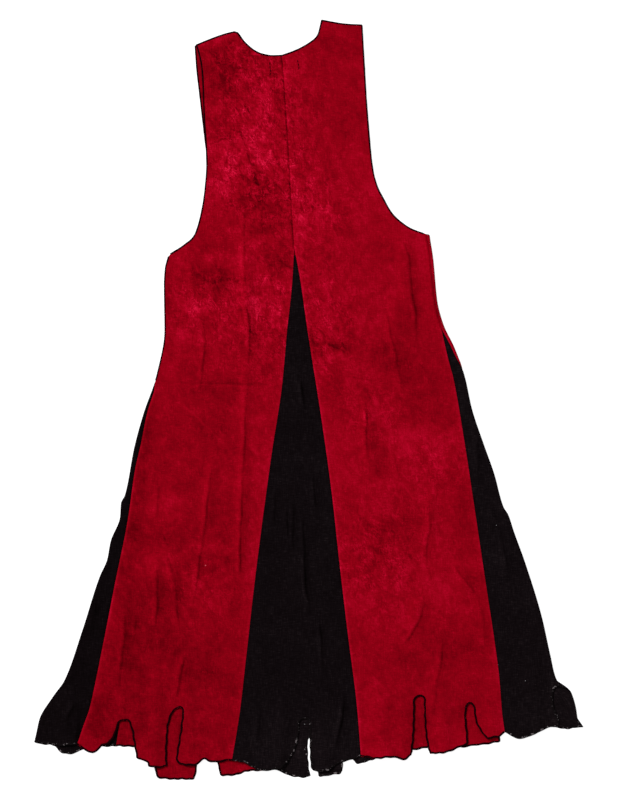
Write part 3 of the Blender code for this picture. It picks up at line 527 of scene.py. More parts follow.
def notchOutline(notch, step):
    # a slot in the hem: up one side, round the crown and down the other side
    half = notch.width / 2
    across, down = notch.crown
    angles = [math.pi * i / 12 for i in range(13)]
    crown = [(across - half * math.cos(angle), down + half - half * math.sin(angle)) for angle in angles]

    def flank(lip, foot):
        inner = Vector((foot[0], lip[1] - 0.3 * (lip[1] - foot[1])))
        count = max(3, round((Vector(lip) - Vector(foot)).length / step))
        return [
            tuple((1 - t) ** 2 * Vector(lip) + 2 * t * (1 - t) * inner + t * t * Vector(foot))
            for t in (i / count for i in range(1, count))
        ]

    up, back = flank(notch.leftLip, crown[0]), flank(notch.rightLip, crown[-1])[::-1]
    return [notch.leftLip] + up + crown + back + [notch.rightLip]


def wobbled(points):
    # the stretched, slightly waved edge of an overlocked hem
    found = []
    for across, down in points:
        sway = math.sin(down / 2.9 + 1.3 * math.sin(across / 11)) * 0.5
        drop = math.sin(across / 2.7 + 1.9 * math.sin(across / 17)) * 0.6 + math.sin(across / 5.9 + 2) * 0.5
        found.append((across + layout["wobble"] * sway, down + layout["wobble"] * drop))
    return found


def hem(items, step):
    found, run = [], []
    for item in items:
        if isinstance(item, notchAt):
            slot = notchOutline(item, step)
        elif isinstance(item, slotAt):
            slot = curve(item.path, step)
        else:
            run.append(item)
            continue
        found += curve(run + slot[:1], step)[:-1] + slot[:-1]
        run = slot[-1:]
    return wobbled(found + curve(run, step))


def seam(rows, layer, step, top=None):
    across = line(rows)
    top = rows[0].down if top is None else top
    return [(float(across(down)), float(down), layer) for down in stations(top, rows[-1].down, step)]


def turned(top, bottom, step):
    # a seam that runs along the side edge itself
    return [(0.0, float(down), turn) for down in stations(top, bottom, step)]


def shifted(places, outward, side=None, start=None):
    found = [unfold(across, down, layer, side, start) for across, down, layer in places]
    return [(across + outward * layout["seamGap"] / 2, down) for across, down in found]


def rolled(points, layer, side, start):
    return [unfold(point[0], point[1], layer, side, start) for point in points]


# Each piece as runs round its outline. A raw run is an overlocked edge, the others are seams.
def leftPanelRuns(layer, step, edges, seams, hemEdge, seamTop):
    neck, shoulder, arm = edges
    centre, gore, sideSeam = seams
    return [
        ("raw", curve(arm, step)[::-1][:-1] + curve(shoulder, step) + curve(neck, step)),
        ("centre", shifted(seam(centre, layer, step), -1)),
        ("gore", shifted(seam(gore, layer, step), -1)),
        ("hem", hem(hemEdge, step)[::-1]),
        ("gore", shifted(seam(sideSeam, layer, step)[::-1], 1, left, layer)),
        ("side", shifted(turned(leftEdge[0].down, seamTop, step)[::-1], 1, left, layer)),
    ]


def rightPanelRuns(layer, step, edges, sideRuns, hemEdge, seams):
    neck, shoulder, arm = edges
    above, beside = sideRuns
    gore, centre = seams
    return [
        ("raw", curve(neck, step) + curve(shoulder, step)[1:-1] + curve(arm, step)),
        ("side", shifted(above, -1, right, layer)),
        ("gore", shifted(beside, -1, right, layer)),
        ("hem", hem(hemEdge, step)[::-1]),
        ("gore", shifted(seam(gore, layer, step)[::-1], 1)),
        ("centre", shifted(seam(centre, layer, step)[::-1], 1)),
    ]


def middleGoreRuns(layer, step, leftSeam, rightSeam, hemEdge):
    tip = leftSeam[0].down + layout["goreTipDrop"]
    return [
        ("gore", shifted(seam(rightSeam, layer, step, tip), -1)),
        ("hem", hem(hemEdge, step)[::-1]),
        ("gore", shifted(seam(leftSeam, layer, step, tip)[::-1], 1)),
    ]


def backPanelLeftRuns(step):
    edges = backNeck[: backNeckMiddle + 1], backShoulderLeft, backArmLeft
    seams = backCentre, backGoreLeft, backSideLeft
    return leftPanelRuns(upper, step, edges, seams, backHemLeft, leftSeamTurns)


def backPanelRightRuns(step):
    edges = backNeck[backNeckMiddle:], backShoulderRight, backArmRight
    sideRuns = seam(rightSeamAboveGore, upper, step), seam(backSideRight, upper, step)
    return rightPanelRuns(upper, step, edges, sideRuns, backHemRight, (backGoreRight, backCentre))


def backGoreRuns(step):
    return middleGoreRuns(upper, step, backGoreLeft, backGoreRight, backHemGore)


def frontPanelLeftRuns(step):
    edges = frontNeck[: frontNeckMiddle + 1], frontShoulderLeft, frontArmLeft
    seams = frontCentre, frontGoreLeft, frontSideLeft
    return leftPanelRuns(lower, step, edges, seams, frontHemLeft, leftGoreTip)


def rightSeamOverTheEdge(step):
    # the seam between the right side gore and the front panel, from its tip on the back
    beside = seam(rightSeamBesideGore, upper, step) + [(0.0, rightSeamTurns, turn)]
    return beside + seam(frontSideRight, lower, step)


def frontPanelRightRuns(step):
    edges = frontNeck[frontNeckMiddle:], frontShoulderRight, frontArmRight
    above = [(0.0, rightEdge[0].down, turn)] + seam(rightSeamAboveGore, upper, step)
    sideRuns = above, rightSeamOverTheEdge(step)
    return rightPanelRuns(lower, step, edges, sideRuns, frontHemRight, (frontGoreRight, frontCentre))


def frontGoreRuns(step):
    return middleGoreRuns(lower, step, frontGoreLeft, frontGoreRight, frontHemGore)


def sideGoreLeftRuns(step):
    back = turned(frontSideLeft[0].down, leftSeamTurns, step) + seam(backSideLeft, upper, step)
    edge = rolled(hem(backHemLeftGore, step)[::-1], upper, left, upper)
    edge += [unfold(0.0, leftEdge[-1].down, turn, left, upper)]
    edge += rolled(hem(frontHemLeftGore, step), lower, left, upper)
    return [
        ("gore", shifted(back, -1, left, upper)),
        ("hem", edge),
        ("gore", shifted(seam(frontSideLeft, lower, step), 1, left, upper)[::-1]),
    ]


def sideGoreRightRuns(step):
    tip = backSideRight[0].down + layout["goreTipDrop"]
    lip = [(0.0, down, turn) for down in rightTurnLip + (rightEdge[-1].down,)]
    edge = curve(backHemRightGore + rightTurnNotch, step)
    edge += [unfold(*spot, right, upper) for spot in lip]
    edge += rolled(hem(frontHemRightGore, step)[::-1], lower, right, upper)
    return [
        ("gore", shifted(rightSeamOverTheEdge(step)[1:], -1, right, upper)[::-1]),
        ("gore", shifted(seam(backSideRight, upper, step, tip), 1)),
        ("hem", edge),
    ]


def outlineOf(runs):
    found = []
    for kind, points in runs:
        for point in points[1:-1] if kind in ("raw", "hem") else points:
            if not found or math.dist(found[-1], point) > meshing["weld"]:
                found.append(point)
    if math.dist(found[0], found[-1]) < meshing["weld"]:
        found.pop()
    return np.array(found)


def inParts(points):
    # a few points at a time, to save memory
    return np.array_split(np.asarray(points, float), max(1, len(points) // 1500))


def distances(points, chain, closed=False):
    # distance of each point from a chain of segments
    a = np.asarray(chain, float)
    b = np.roll(a, -1, axis=0) if closed else a[1:]
    a = a if closed else a[:-1]
    run = b - a
    size = np.maximum((run**2).sum(1), 1e-12)
    found = []
    for p in inParts(points):
        away = p[:, None, :] - a
        t = np.clip((away * run).sum(-1) / size, 0, 1)
        found.append(np.sqrt(((away - run * t[..., None]) ** 2).sum(-1)).min(axis=1))
    return np.concatenate(found)


def insideOf(points, outline):
    a, b = outline, np.roll(outline, -1, axis=0)
    rise = np.where(b[:, 1] == a[:, 1], 1.0, b[:, 1] - a[:, 1])
    found = []
    for p in inParts(points):
        y = p[:, 1:2]
        crossing = a[:, 0] + (y - a[:, 1]) * (b - a)[:, 0] / rise
        hit = ((a[:, 1] > y) != (b[:, 1] > y)) & (p[:, 0:1] < crossing)
        found.append(hit.sum(axis=1) % 2 == 1)
    return np.concatenate(found)


def unit(rows):
    return rows / np.maximum(np.linalg.norm(rows, axis=1, keepdims=True), 1e-9)


def turnGrid(outline, side, step):
    # lines of points that follow the side edge round its turn, and the edges that join them
    half, relax = math.pi * layout["turnRadius"], layout["turnRelax"]
    away = meshing["turnRows"] + (relax,)
    offsets = [-more for more in away[::-1]] + [half * i / 8 for i in range(9)]
    past = side * (outline[:, 0] - turnStart(outline[:, 1], side))
    if past.max() > half + 2:
        offsets += [half + more for more in away]
    top, bottom = outline[:, 1].min(), outline[:, 1].max()
    rows = np.arange(math.ceil(top / step), math.floor(bottom / step)) * step
    points, joins = [], []
    for offset in offsets:
        spots = np.stack([turnStart(rows, side) + side * offset, rows], axis=1)
        fits = insideOf(spots, outline) & (distances(spots, outline, True) > 0.4)
        middles = (spots[1:] + spots[:-1]) / 2
        linked = insideOf(middles, outline) & fits[1:] & fits[:-1]
        index = len(points) + np.cumsum(fits) - 1
        points += [tuple(spot) for spot in spots[fits]]
        joins += [(int(index[i]), int(index[i + 1])) for i in np.flatnonzero(linked)]
    return points, joins


def insetRows(outline, amounts):
    # rows of points just inside the outline, so that the edge of the cloth keeps its form
    ahead = np.roll(outline, -1, axis=0) - np.roll(outline, 1, axis=0)
    aside = unit(np.stack([-ahead[:, 1], ahead[:, 0]], axis=1))
    found = []
    for amount in amounts:
        for sign in (-1, 1):
            spots = outline + sign * amount * aside
            fits = insideOf(spots, outline) & (distances(spots, outline, True) > 0.9 * amount)
            found.append(spots[fits])
    return np.concatenate(found)


def creaseRows(outline, step):
    # rows of points along each crease, close enough together to hold its form
    found = []
    for crease in creases:
        path = np.array(curve(crease.path, step))
        ahead = unit(np.gradient(path, axis=0))
        aside = np.stack([ahead[:, 1], -ahead[:, 0]], axis=1) * crease.halfWidth
        found += [path + aside * part for part in meshing["creaseParts"]]
    found = np.concatenate(found)
    found = found[insideOf(found, outline)]
    return found[distances(found, outline, True) > meshing["creaseClear"]]


def clearOf(kept, more, clear):
    if len(kept) == 0:
        return [tuple(point) for point in more]
    tree = KDTree(len(kept))
    for i, point in enumerate(kept):
        tree.insert((point[0], point[1], 0.0), i)
    tree.balance()
    return [tuple(p) for p in more if tree.find((p[0], p[1], 0.0))[2] > clear]


def flatMesh(runs, side, start, step):
    outline = outlineOf(runs)
    inner, joins = turnGrid(outline, side, step) if side is not None else ([], [])
    inner = inner + clearOf(inner, insetRows(outline, meshing["insets"]), meshing["insetClear"])
    if start == upper:
        inner = inner + clearOf(inner, creaseRows(outline, meshing["creaseStep"]), meshing["creaseGap"])
    low, high = outline.min(axis=0), outline.max(axis=0)
    row = step * meshing["rowShare"]
    grid = np.array([
        (low[0] + step * (j + 0.5 * (i % 2)), low[1] + row * i)
        for i in range(int((high[1] - low[1]) / row) + 1)
        for j in range(int((high[0] - low[0]) / step) + 1)
    ])
    grid = grid[insideOf(grid, outline)]
    grid = grid[distances(grid, outline, True) > 0.5 * step + meshing["edgeClear"]]
    if side is not None:
        past = side * (grid[:, 0] - turnStart(grid[:, 1], side))
        clear = meshing["pastTurn"] * step
        far = math.pi * layout["turnRadius"] + layout["turnRelax"] + clear
        grid = grid[(past < -layout["turnRelax"] - clear) | (past > far)]
    grid = clearOf(inner, grid, meshing["gridClear"] * step)
    count = len(outline)
    edges = [(i, (i + 1) % count) for i in range(count)]
    edges += [(a + count, b + count) for a, b in joins]
    flat = [Vector(p) for p in outline] + [Vector(p) for p in inner + grid]
    points, _, faces = delaunay_2d_cdt(flat, edges, [], 1, 1e-5)[:3]
    return outline, np.array([tuple(p) for p in points]), np.array(faces)


seamForm = {"dipReach": 1.4, "ridgeAt": 2.6, "ridgeWidth": 1.7}  # millimetres from the seam


def seamRelief(points, runs, flatKinds):
    # height that the seams give the cloth near them, and the painted shade and painted highlight beside
    # them
    height, shade = np.zeros(len(points)), np.zeros(len(points))
    for kind, chain in runs:
        if kind not in flatKinds:
            continue
        dip, ridge, tone, reach = flatKinds[kind]
        far = distances(points, chain)
        raised = bell(far - seamForm["ridgeAt"], seamForm["ridgeWidth"])
        height += -dip * np.clip(1 - far / seamForm["dipReach"], 0, 1) + ridge * raised
        shade += tone * bell(far, reach)
    return height, shade


def addObject(name, data):
    made = bpy.data.objects.new(name, data)
    bpy.context.scene.collection.objects.link(made)
    return made


def meshObject(name, points, faces, material, smooth=40):
    mesh = bpy.data.meshes.new(name)
    mesh.from_pydata([tuple(p) for p in points], [], [tuple(map(int, f)) for f in faces])
    mesh.materials.append(material)
    mesh.shade_smooth()
    mesh.set_sharp_from_angle(angle=math.radians(smooth))
    return addObject(name, mesh)


def cutSize(outline):
    # width and length of the smallest rectangle of cloth that the cut fits
    sizes = []
    for angle in np.radians(np.arange(0, 90, 1)):
        turnedX = outline @ [math.cos(angle), math.sin(angle)]
        turnedY = outline @ [-math.sin(angle), math.cos(angle)]
        sizes.append(sorted((np.ptp(turnedX), np.ptp(turnedY))))
    return np.array(min(sizes, key=lambda pair: pair[0] * pair[1]))


def clothWall(flat, faces, relief, side, start):
    # both faces of the cloth and its rim, from the flat mesh: the relief moves each point along the normal
    outer = place(flat, side, start)
    inner = place(flat, side, start, layout["cloth"])
    probe = meshing["probe"]
    across = place(flat + [probe, 0], side, start) - place(flat - [probe, 0], side, start)
    along = place(flat + [0, probe], side, start) - place(flat - [0, probe], side, start)
    facing = 1 if start == upper else -1
    normal = facing * np.cross(along, across)
    normal /= np.linalg.norm(normal, axis=1, keepdims=True)
    outer += normal * relief[:, None] / 1000
    inner += normal * np.minimum(relief, 0)[:, None] * 0.5 / 1000
    outer[:, 2] = np.maximum(outer[:, 2], 0.0)
    a, b, c = flat[faces[:, 0]], flat[faces[:, 1]], flat[faces[:, 2]]
    wrong = ((b - a)[:, 0] * (c - a)[:, 1] - (b - a)[:, 1] * (c - a)[:, 0]) * facing > 0
    faces[wrong] = faces[wrong][:, ::-1]
    known = set(map(tuple, np.concatenate([faces[:, [0, 1]], faces[:, [1, 2]], faces[:, [2, 0]]])))
    rim = [(x, y) for x, y in known if (y, x) not in known]
    used = np.unique(faces)
    size = len(used)
    index = np.full(len(flat), -1)
    index[used] = np.arange(size)
    faces = index[faces]
    every = [tuple(f) for f in faces] + [tuple(f[::-1] + size) for f in faces]
    every += [(index[y], index[x], index[x] + size, index[y] + size) for x, y in rim]
    return outer[used], inner[used], every, used


def clothPiece(name, settings, runs, side, start, material):
    step = meshing["step"] if start == upper else meshing["frontStep"]
    outline, flat, faces = flatMesh(runs, side, start, step)
    relief, shade = seamRelief(flat, runs, settings["seams"])
    outer, inner, every, used = clothWall(flat, faces, relief, side, start)
    made = meshObject(name, np.concatenate([outer, inner]), every, material)
    flat, shade = flat[used], shade[used]
    # the cloth laid out in metres, for the weave
    spots = np.concatenate([flat, flat])
    layer = made.data.uv_layers.new(name="cloth")
    corner = np.empty(len(made.data.loops), np.int32)
    made.data.loops.foreach_get("vertex_index", corner)
    layer.data.foreach_set("uv", (spots[corner] * [1, -1] / 1000).astype(np.float32).ravel())
    x, down = outer[:, 0] * 1000, flat[:, 1]
    # one tone: uneven dye, with painted shade and painted light from the clouds, seams, creases and side
    # edges
    tone = settings["dyeAndPaintedLight"] * clouds(settings["clouds"], x, down) + settings["shade"] + shade
    if start == upper:
        # painted shade along the creases, and painted light beside them
        tone = tone + settings["creases"] * creaseForm(x, down)[1]
    if side is not None:
        past = side * (flat[:, 0] - turnStart(down, side)) / layout["turnRadius"]
        # painted shade where the cloth turns down over the side edge
        tone = tone - settings["turnPaintedShade"] * bell(past - math.pi / 2, layout["turnShade"])
    crumple = settings["crumple"] * np.clip(layout["crumpleBase"] + clouds(crumples, x, down), 0, 1)
    for label, values in (("dyeAndPaintedLight", tone), ("crumple", crumple)):
        attribute = made.data.attributes.new(label, "FLOAT", "POINT")
        attribute.data.foreach_set("value", np.concatenate([values, values]).astype(np.float32))
    closed = np.concatenate([outline, outline[:1]])
    area = abs((closed[:-1, 0] * closed[1:, 1] - closed[1:, 0] * closed[:-1, 1]).sum()) / 2e6
    size = cutSize(outline) / 1000
    made["flatSize"] = [float(size[0]), float(size[1]), float(area)]
    print(f"{name}: {len(every)} faces, flat {size[0]:.3f} x {size[1]:.3f} m, {area:.4f} m2")
    return made


def lengthAlong(path):
    return np.concatenate([[0], np.cumsum(np.linalg.norm(np.diff(path, axis=0), axis=1))])


def spotsAt(far, length, path):
    return np.stack([np.interp(far, length, path[:, i]) for i in (0, 1)], axis=1)


def tubeFaces(base, count, around):
    # the wall between rings of points, and a cap at each end
    rings = [base + i * around for i in range(count + 1)]
    first, last = (tuple(range(ring, ring + around)) for ring in (base, rings[-1]))
    wall = [
        (low + j, low + (j + 1) % around, high + (j + 1) % around, high + j)
        for low, high in zip(rings, rings[1:])
        for j in range(around)
    ]
    return wall + [first[::-1], last]


def tubeObject(name, points, faces, material):
    made = meshObject(name, points, faces, material, 60)
    work = bmesh.new()
    work.from_mesh(made.data)
    bmesh.ops.recalc_face_normals(work, faces=work.faces)
    work.to_mesh(made.data)
    work.free()
    print(f"{name}: {len(faces)} faces")
    return made


def overlock(name, settings, runs, side, start, material):
    # thread wrapped round the raw edges: a flat oval that follows the edge, with slanted stitches
    rng = np.random.default_rng(settings["seed"])
    points, faces = [], []
    around = settings["sides"]
    outline = outlineOf(runs)
    for kind, chain in runs:
        if kind not in settings["bands"]:
            continue
        width, thread = settings["bands"][kind]
        path = np.array([p for i, p in enumerate(chain) if i == 0 or math.dist(p, chain[i - 1]) > 0.05])
        length = lengthAlong(path)
        count = max(4, int(length[-1] / settings["ring"]))
        s = np.linspace(0, length[-1], count + 1)
        path = spotsAt(s, length, path)
        ahead = np.pad(np.gradient(path, axis=0), ((2, 2), (0, 0)), "edge")
        ahead = unit(np.stack([np.convolve(ahead[:, i], np.ones(5) / 5, "valid") for i in (0, 1)], axis=1))
        out = np.stack([ahead[:, 1], -ahead[:, 0]], axis=1)
        if insideOf([path[count // 2] + 0.6 * out[count // 2]], outline)[0]:
            out = -out
        knots = np.arange(0, s[-1] + 2 * settings["wanderStep"], settings["wanderStep"])
        wander = np.interp(s, knots, rng.normal(0, settings["wander"], len(knots)))
        middle = settings["lap"] - width / 2 - 0.25 * wander
        reach = width / 2 + 0.75 * wander
        thick = layout["cloth"] / 2 + thread
        ring = np.empty((count + 1, around, 3))
        for j, angle in enumerate(np.arange(around) * 2 * math.pi / around):
            lean = 2 * math.pi * s / settings["pitch"] + settings["slant"] * angle
            depth = layout["cloth"] / 2 - thick * (1 + settings["ridge"] * np.cos(lean)) * math.sin(angle)
            spots = path + out * (middle + reach * math.cos(angle))[:, None]
            ring[:, j] = place(spots, side, start, depth)
        ring[..., 2] = np.maximum(ring[..., 2], 0.0)
        faces += tubeFaces(len(points), count, around)
        points += [tuple(p) for p in ring.reshape(-1, 3)]
    return tubeObject(name, points, faces, material)


def tubes(name, paths, settings, material):
    # short round threads along paths in space, in metres
    points, faces = [], []
    around = settings["sides"]
    for path in paths:
        ahead = unit(np.gradient(path, axis=0))
        aside = unit(np.cross(ahead, [0, 0, 1.0]))
        upward = np.cross(aside, ahead)
        faces += tubeFaces(len(points), len(path) - 1, around)
        for i, spot in enumerate(path):
            for j in range(around):
                angle = j * 2 * math.pi / around
                way = aside[i] * math.cos(angle) + upward[i] * math.sin(angle)
                points.append(tuple(spot + way * settings["radius"] / 1000))
    return tubeObject(name, points, faces, material)


def stitchPaths(rows, settings):
    # running stitches along rows of places on the back, each one dipping at its ends
    paths = []
    for row in rows:
        row = np.array(row, float)
        far = lengthAlong(row)
        begin = 0.0
        while begin + settings["length"] <= far[-1] + 0.01:
            path = place(spotsAt(np.linspace(begin, begin + settings["length"], 7), far, row), None, upper)
            path[:, 2] += (settings["lift"] * np.sin(np.linspace(0, math.pi, 7)) - settings["dip"]) / 1000
            paths.append(path)
            begin += settings["length"] + settings["gap"]
    return paths


def linear(colour):
    # a colour in 0 to 255, as a screen shows it, as linear light
    values = [c / 255 for c in colour]
    return tuple(v / 12.92 if v < 0.04045 else ((v + 0.055) / 1.055) ** 2.4 for v in values) + (1.0,)


def feed(tree, value, socket):
    # a link from another node, or a plain value
    if isinstance(value, bpy.types.NodeSocket):
        tree.links.new(value, socket)
    else:
        socket.default_value = value


def node(tree, kind, settings=(), **inputs):
    # inputs by name, or by number as i0, i1 and so on
    made = tree.nodes.new(kind)
    for key, value in dict(settings).items():
        setattr(made, key, value)
    for key, value in inputs.items():
        feed(tree, value, made.inputs[int(key[1:]) if key[1:].isdigit() else key])
    return made


def maths(tree, operation, a, b=0.0, c=0.0, clamp=False):
    settings = {"operation": operation, "use_clamp": clamp}
    return node(tree, "ShaderNodeMath", settings, i0=a, i1=b, i2=c).outputs[0]


def minus(tree, a, b, clamp=False):
    return maths(tree, "SUBTRACT", a, b, clamp=clamp)


def times(tree, a, b, clamp=False):
    return maths(tree, "MULTIPLY", a, b, clamp=clamp)


def timesPlus(tree, a, b, c):
    return maths(tree, "MULTIPLY_ADD", a, b, c)


def newGroup(name, outputs, **inputs):
    # a group with a Vector input, and the named numbers in and out
    tree = bpy.data.node_groups.new(name, "ShaderNodeTree")
    tree.interface.new_socket(name="Vector", in_out="INPUT", socket_type="NodeSocketVector")
    for label, value in inputs.items():
        socket = tree.interface.new_socket(name=label, in_out="INPUT", socket_type="NodeSocketFloat")
        socket.default_value = value
    for label in outputs:
        tree.interface.new_socket(name=label, in_out="OUTPUT", socket_type="NodeSocketFloat")
    return tree, tree.nodes.new("NodeGroupInput").outputs, tree.nodes.new("NodeGroupOutput").inputs


def stretched(tree, vector, x, y):
    settings = {"operation": "MULTIPLY"}
    return node(tree, "ShaderNodeVectorMath", settings, i0=vector, i1=(x, y, 1.0)).outputs[0]


def noise(tree, vector, scale, detail=3.0, roughness=0.55, distortion=0.0):
    return node(
        tree, "ShaderNodeTexNoise", {"noise_dimensions": "2D"},
        Vector=vector, Scale=scale, Detail=detail, Roughness=roughness, Distortion=distortion,
    ).outputs[0]


def weaveGroup():
    # threads across and down, with thick and thin places
    tree, given, out = newGroup("linenWeave", ("Tone", "Height"), Slub=1.0, Bright=2.6)
    weft = noise(tree, stretched(tree, given["Vector"], 90, 760), 1.0, 3.0, 0.6, 0.3)
    warp = noise(tree, stretched(tree, given["Vector"], 700, 60), 1.0, 3.0, 0.6, 0.3)
    fineWeft = noise(tree, stretched(tree, given["Vector"], 260, 1900), 1.0, 1.0)
    fineWarp = noise(tree, stretched(tree, given["Vector"], 1900, 260), 1.0, 1.0)
    slub = timesPlus(tree, minus(tree, warp, 0.5), 0.85, minus(tree, weft, 0.5))
    fine = minus(tree, maths(tree, "MAXIMUM", fineWeft, fineWarp), 0.55)
    tone = timesPlus(tree, slub, given["Slub"], times(tree, fine, 0.35))
    tone = timesPlus(tree, times(tree, slub, slub), given["Bright"], minus(tree, tone, 0.05))
    feed(tree, tone, out["Tone"])
    feed(tree, timesPlus(tree, slub, 0.6, times(tree, fine, 1.2)), out["Height"])
    return tree


def crumpleGroup():
    # crushed cloth: fine crooked crests in patches, between deeper pools. The tone follows the height, so
    # the crests carry painted highlight and the hollows painted shade; the pools are broader darker mottle
    tree, given, out = newGroup("crumpleHighlightAndShade", ("Tone", "Pools", "Height"), Scale=100.0, Slant=-0.46)
    vector, scale = given["Vector"], given["Scale"]
    slanted = node(
        tree, "ShaderNodeVectorRotate", {"rotation_type": "Z_AXIS"}, Vector=vector, Angle=given["Slant"]
    )
    run = stretched(tree, slanted.outputs[0], 1.25, 0.7)
    base = noise(tree, run, scale, 4.0, 0.65, 0.8)
    other = noise(tree, run, times(tree, scale, 1.3), 1.0, 0.5, 1.3)
    patches = noise(tree, vector, times(tree, scale, 0.5), 3.0, 0.6)
    patches = times(tree, minus(tree, patches, 0.4), 5.0, clamp=True)
    crest = maths(tree, "ABSOLUTE", minus(tree, other, 0.52))
    crest = times(tree, minus(tree, 1.0, times(tree, crest, 8.0), clamp=True), patches)
    tone = timesPlus(tree, crest, 0.72, times(tree, minus(tree, base, 0.5), 1.4))
    pools = noise(tree, run, times(tree, scale, 0.36), 4.0, 0.65, 0.8)
    feed(tree, minus(tree, tone, 0.15), out["Tone"])
    feed(tree, minus(tree, pools, 0.5), out["Pools"])
    feed(tree, timesPlus(tree, crest, 0.35, times(tree, base, 1.6)), out["Height"])
    return tree


def cloudGroup():
    # broad clouds of dye with a finer mottle in them
    tree, given, out = newGroup("toneClouds", ("Tone",), Scale=9.0)
    broad = noise(tree, given["Vector"], given["Scale"], 4.0, 0.55, 0.4)
    mottle = noise(tree, given["Vector"], times(tree, given["Scale"], 5.0), 4.0, 0.65, 0.5)
    tone = timesPlus(tree, minus(tree, mottle, 0.5), 0.8, minus(tree, broad, 0.5))
    feed(tree, tone, out["Tone"])
    return tree


def lintGroup():
    # a few specks of pale lint
    tree, given, out = newGroup("lintSpecks", ("Mask",), Scale=20.0, Rarity=0.8)
    moved = node(
        tree, "ShaderNodeVectorMath", {"operation": "MULTIPLY_ADD"},
        i0=given["Vector"], i1=(1.0, 1.0, 1.0), i2=(0.37, 0.11, 0.0),
    ).outputs[0]
    cells = node(
        tree, "ShaderNodeTexVoronoi", {"voronoi_dimensions": "2D"}, Vector=moved, Scale=given["Scale"]
    ).outputs
    chance = node(tree, "ShaderNodeSeparateColor", (), Color=cells["Color"]).outputs[0]
    rare = maths(tree, "GREATER_THAN", chance, given["Rarity"])
    small = maths(tree, "LESS_THAN", cells["Distance"], 0.014)
    feed(tree, times(tree, rare, small), out["Mask"])
    return tree


def useGroup(tree, group, **inputs):
    made = tree.nodes.new("ShaderNodeGroup")
    made.node_tree = group
    for key, value in inputs.items():
        feed(tree, value, made.inputs[key])
    return made.outputs


groups = {"weave": weaveGroup(), "crumple": crumpleGroup(), "cloud": cloudGroup(), "lint": lintGroup()}


def newMaterial(name, roughness, specular):
    material = bpy.data.materials.new(name)
    material.use_nodes = True
    shader = material.node_tree.nodes["Principled BSDF"]
    shader.inputs["Roughness"].default_value = roughness
    shader.inputs["Specular IOR Level"].default_value = specular
    return material, material.node_tree, shader


def paint(tree, shader, mask, colour, over):
    # the base colour, with another colour over it where the mask is 1
    mix = node(tree, "ShaderNodeMix", {"data_type": "RGBA"}, Factor=mask, i6=colour, i7=over)
    tree.links.new(mix.outputs[2], shader.inputs["Base Color"])


def linen(name, settings):
    material, tree, shader = newMaterial(name, settings["roughness"], settings["specular"])
    cloth = node(tree, "ShaderNodeUVMap", {"uv_map": "cloth"}).outputs[0]
    dyeAndPaintedLight = node(tree, "ShaderNodeAttribute", {"attribute_name": "dyeAndPaintedLight"}).outputs["Fac"]
    crumple = node(tree, "ShaderNodeAttribute", {"attribute_name": "crumple"}).outputs["Fac"]
    weave = useGroup(tree, groups["weave"], Vector=cloth, Slub=settings["slub"], Bright=settings["bright"])
    veins = useGroup(tree, groups["crumple"], Vector=cloth, Scale=settings["crumpleScale"])
    cloud = useGroup(tree, groups["cloud"], Vector=cloth, Scale=settings["cloudScale"])
    lint = useGroup(
        tree, groups["lint"], Vector=cloth, Scale=settings["lintScale"], Rarity=settings["lintRarity"]
    )
    # the tone attribute: uneven dye, with painted shade and painted light
    value = timesPlus(tree, dyeAndPaintedLight, settings["dyeAndPaintedLightGain"], 0.5)
    value = timesPlus(tree, cloud["Tone"], settings["cloudGain"], value)
    weaveGain = timesPlus(tree, crumple, settings["weaveCrush"], settings["weaveGain"])
    value = timesPlus(tree, weave["Tone"], weaveGain, value)
    # painted highlight and painted shade of the crumples, and their broader mottle
    crush = times(tree, veins["Tone"], settings["crumpleLightGain"])
    crush = timesPlus(tree, veins["Pools"], settings["poolGain"], crush)
    value = timesPlus(tree, crush, crumple, value)
    ramp = node(tree, "ShaderNodeValToRGB", (), Fac=value)
    stops = ramp.color_ramp.elements
    colours = [linear(colour) for colour in settings["colours"]]
    stops[0].color, stops[1].color = colours[0], colours[-1]
    for i, colour in enumerate(colours[1:-1], 1):
        stops.new(i / (len(colours) - 1)).color = colour
    paint(tree, shader, lint["Mask"], ramp.outputs[0], linear(settings["lint"]))
    height = times(tree, times(tree, veins["Height"], crumple), settings["crushHeight"])
    height = timesPlus(tree, weave["Height"], settings["weaveHeight"], height)
    bump = node(tree, "ShaderNodeBump", (), Strength=settings["bump"], Distance=0.001, Height=height)
    tree.links.new(bump.outputs[0], shader.inputs["Normal"])
    return material


def thread(name, settings):
    material, tree, shader = newMaterial(name, settings["roughness"], settings["specular"])
    spot = node(tree, "ShaderNodeTexCoord").outputs["Object"]
    # light flecks of painted sheen on the thread
    sheenFlecks = minus(tree, noise(tree, spot, settings["fleckScale"], 2.0, 0.7), settings["fleckLevel"])
    sheenFlecks = times(tree, sheenFlecks, 9.0, clamp=True)
    paint(tree, shader, sheenFlecks, linear(settings["colour"]), linear(settings["sheenFleck"]))
    return material


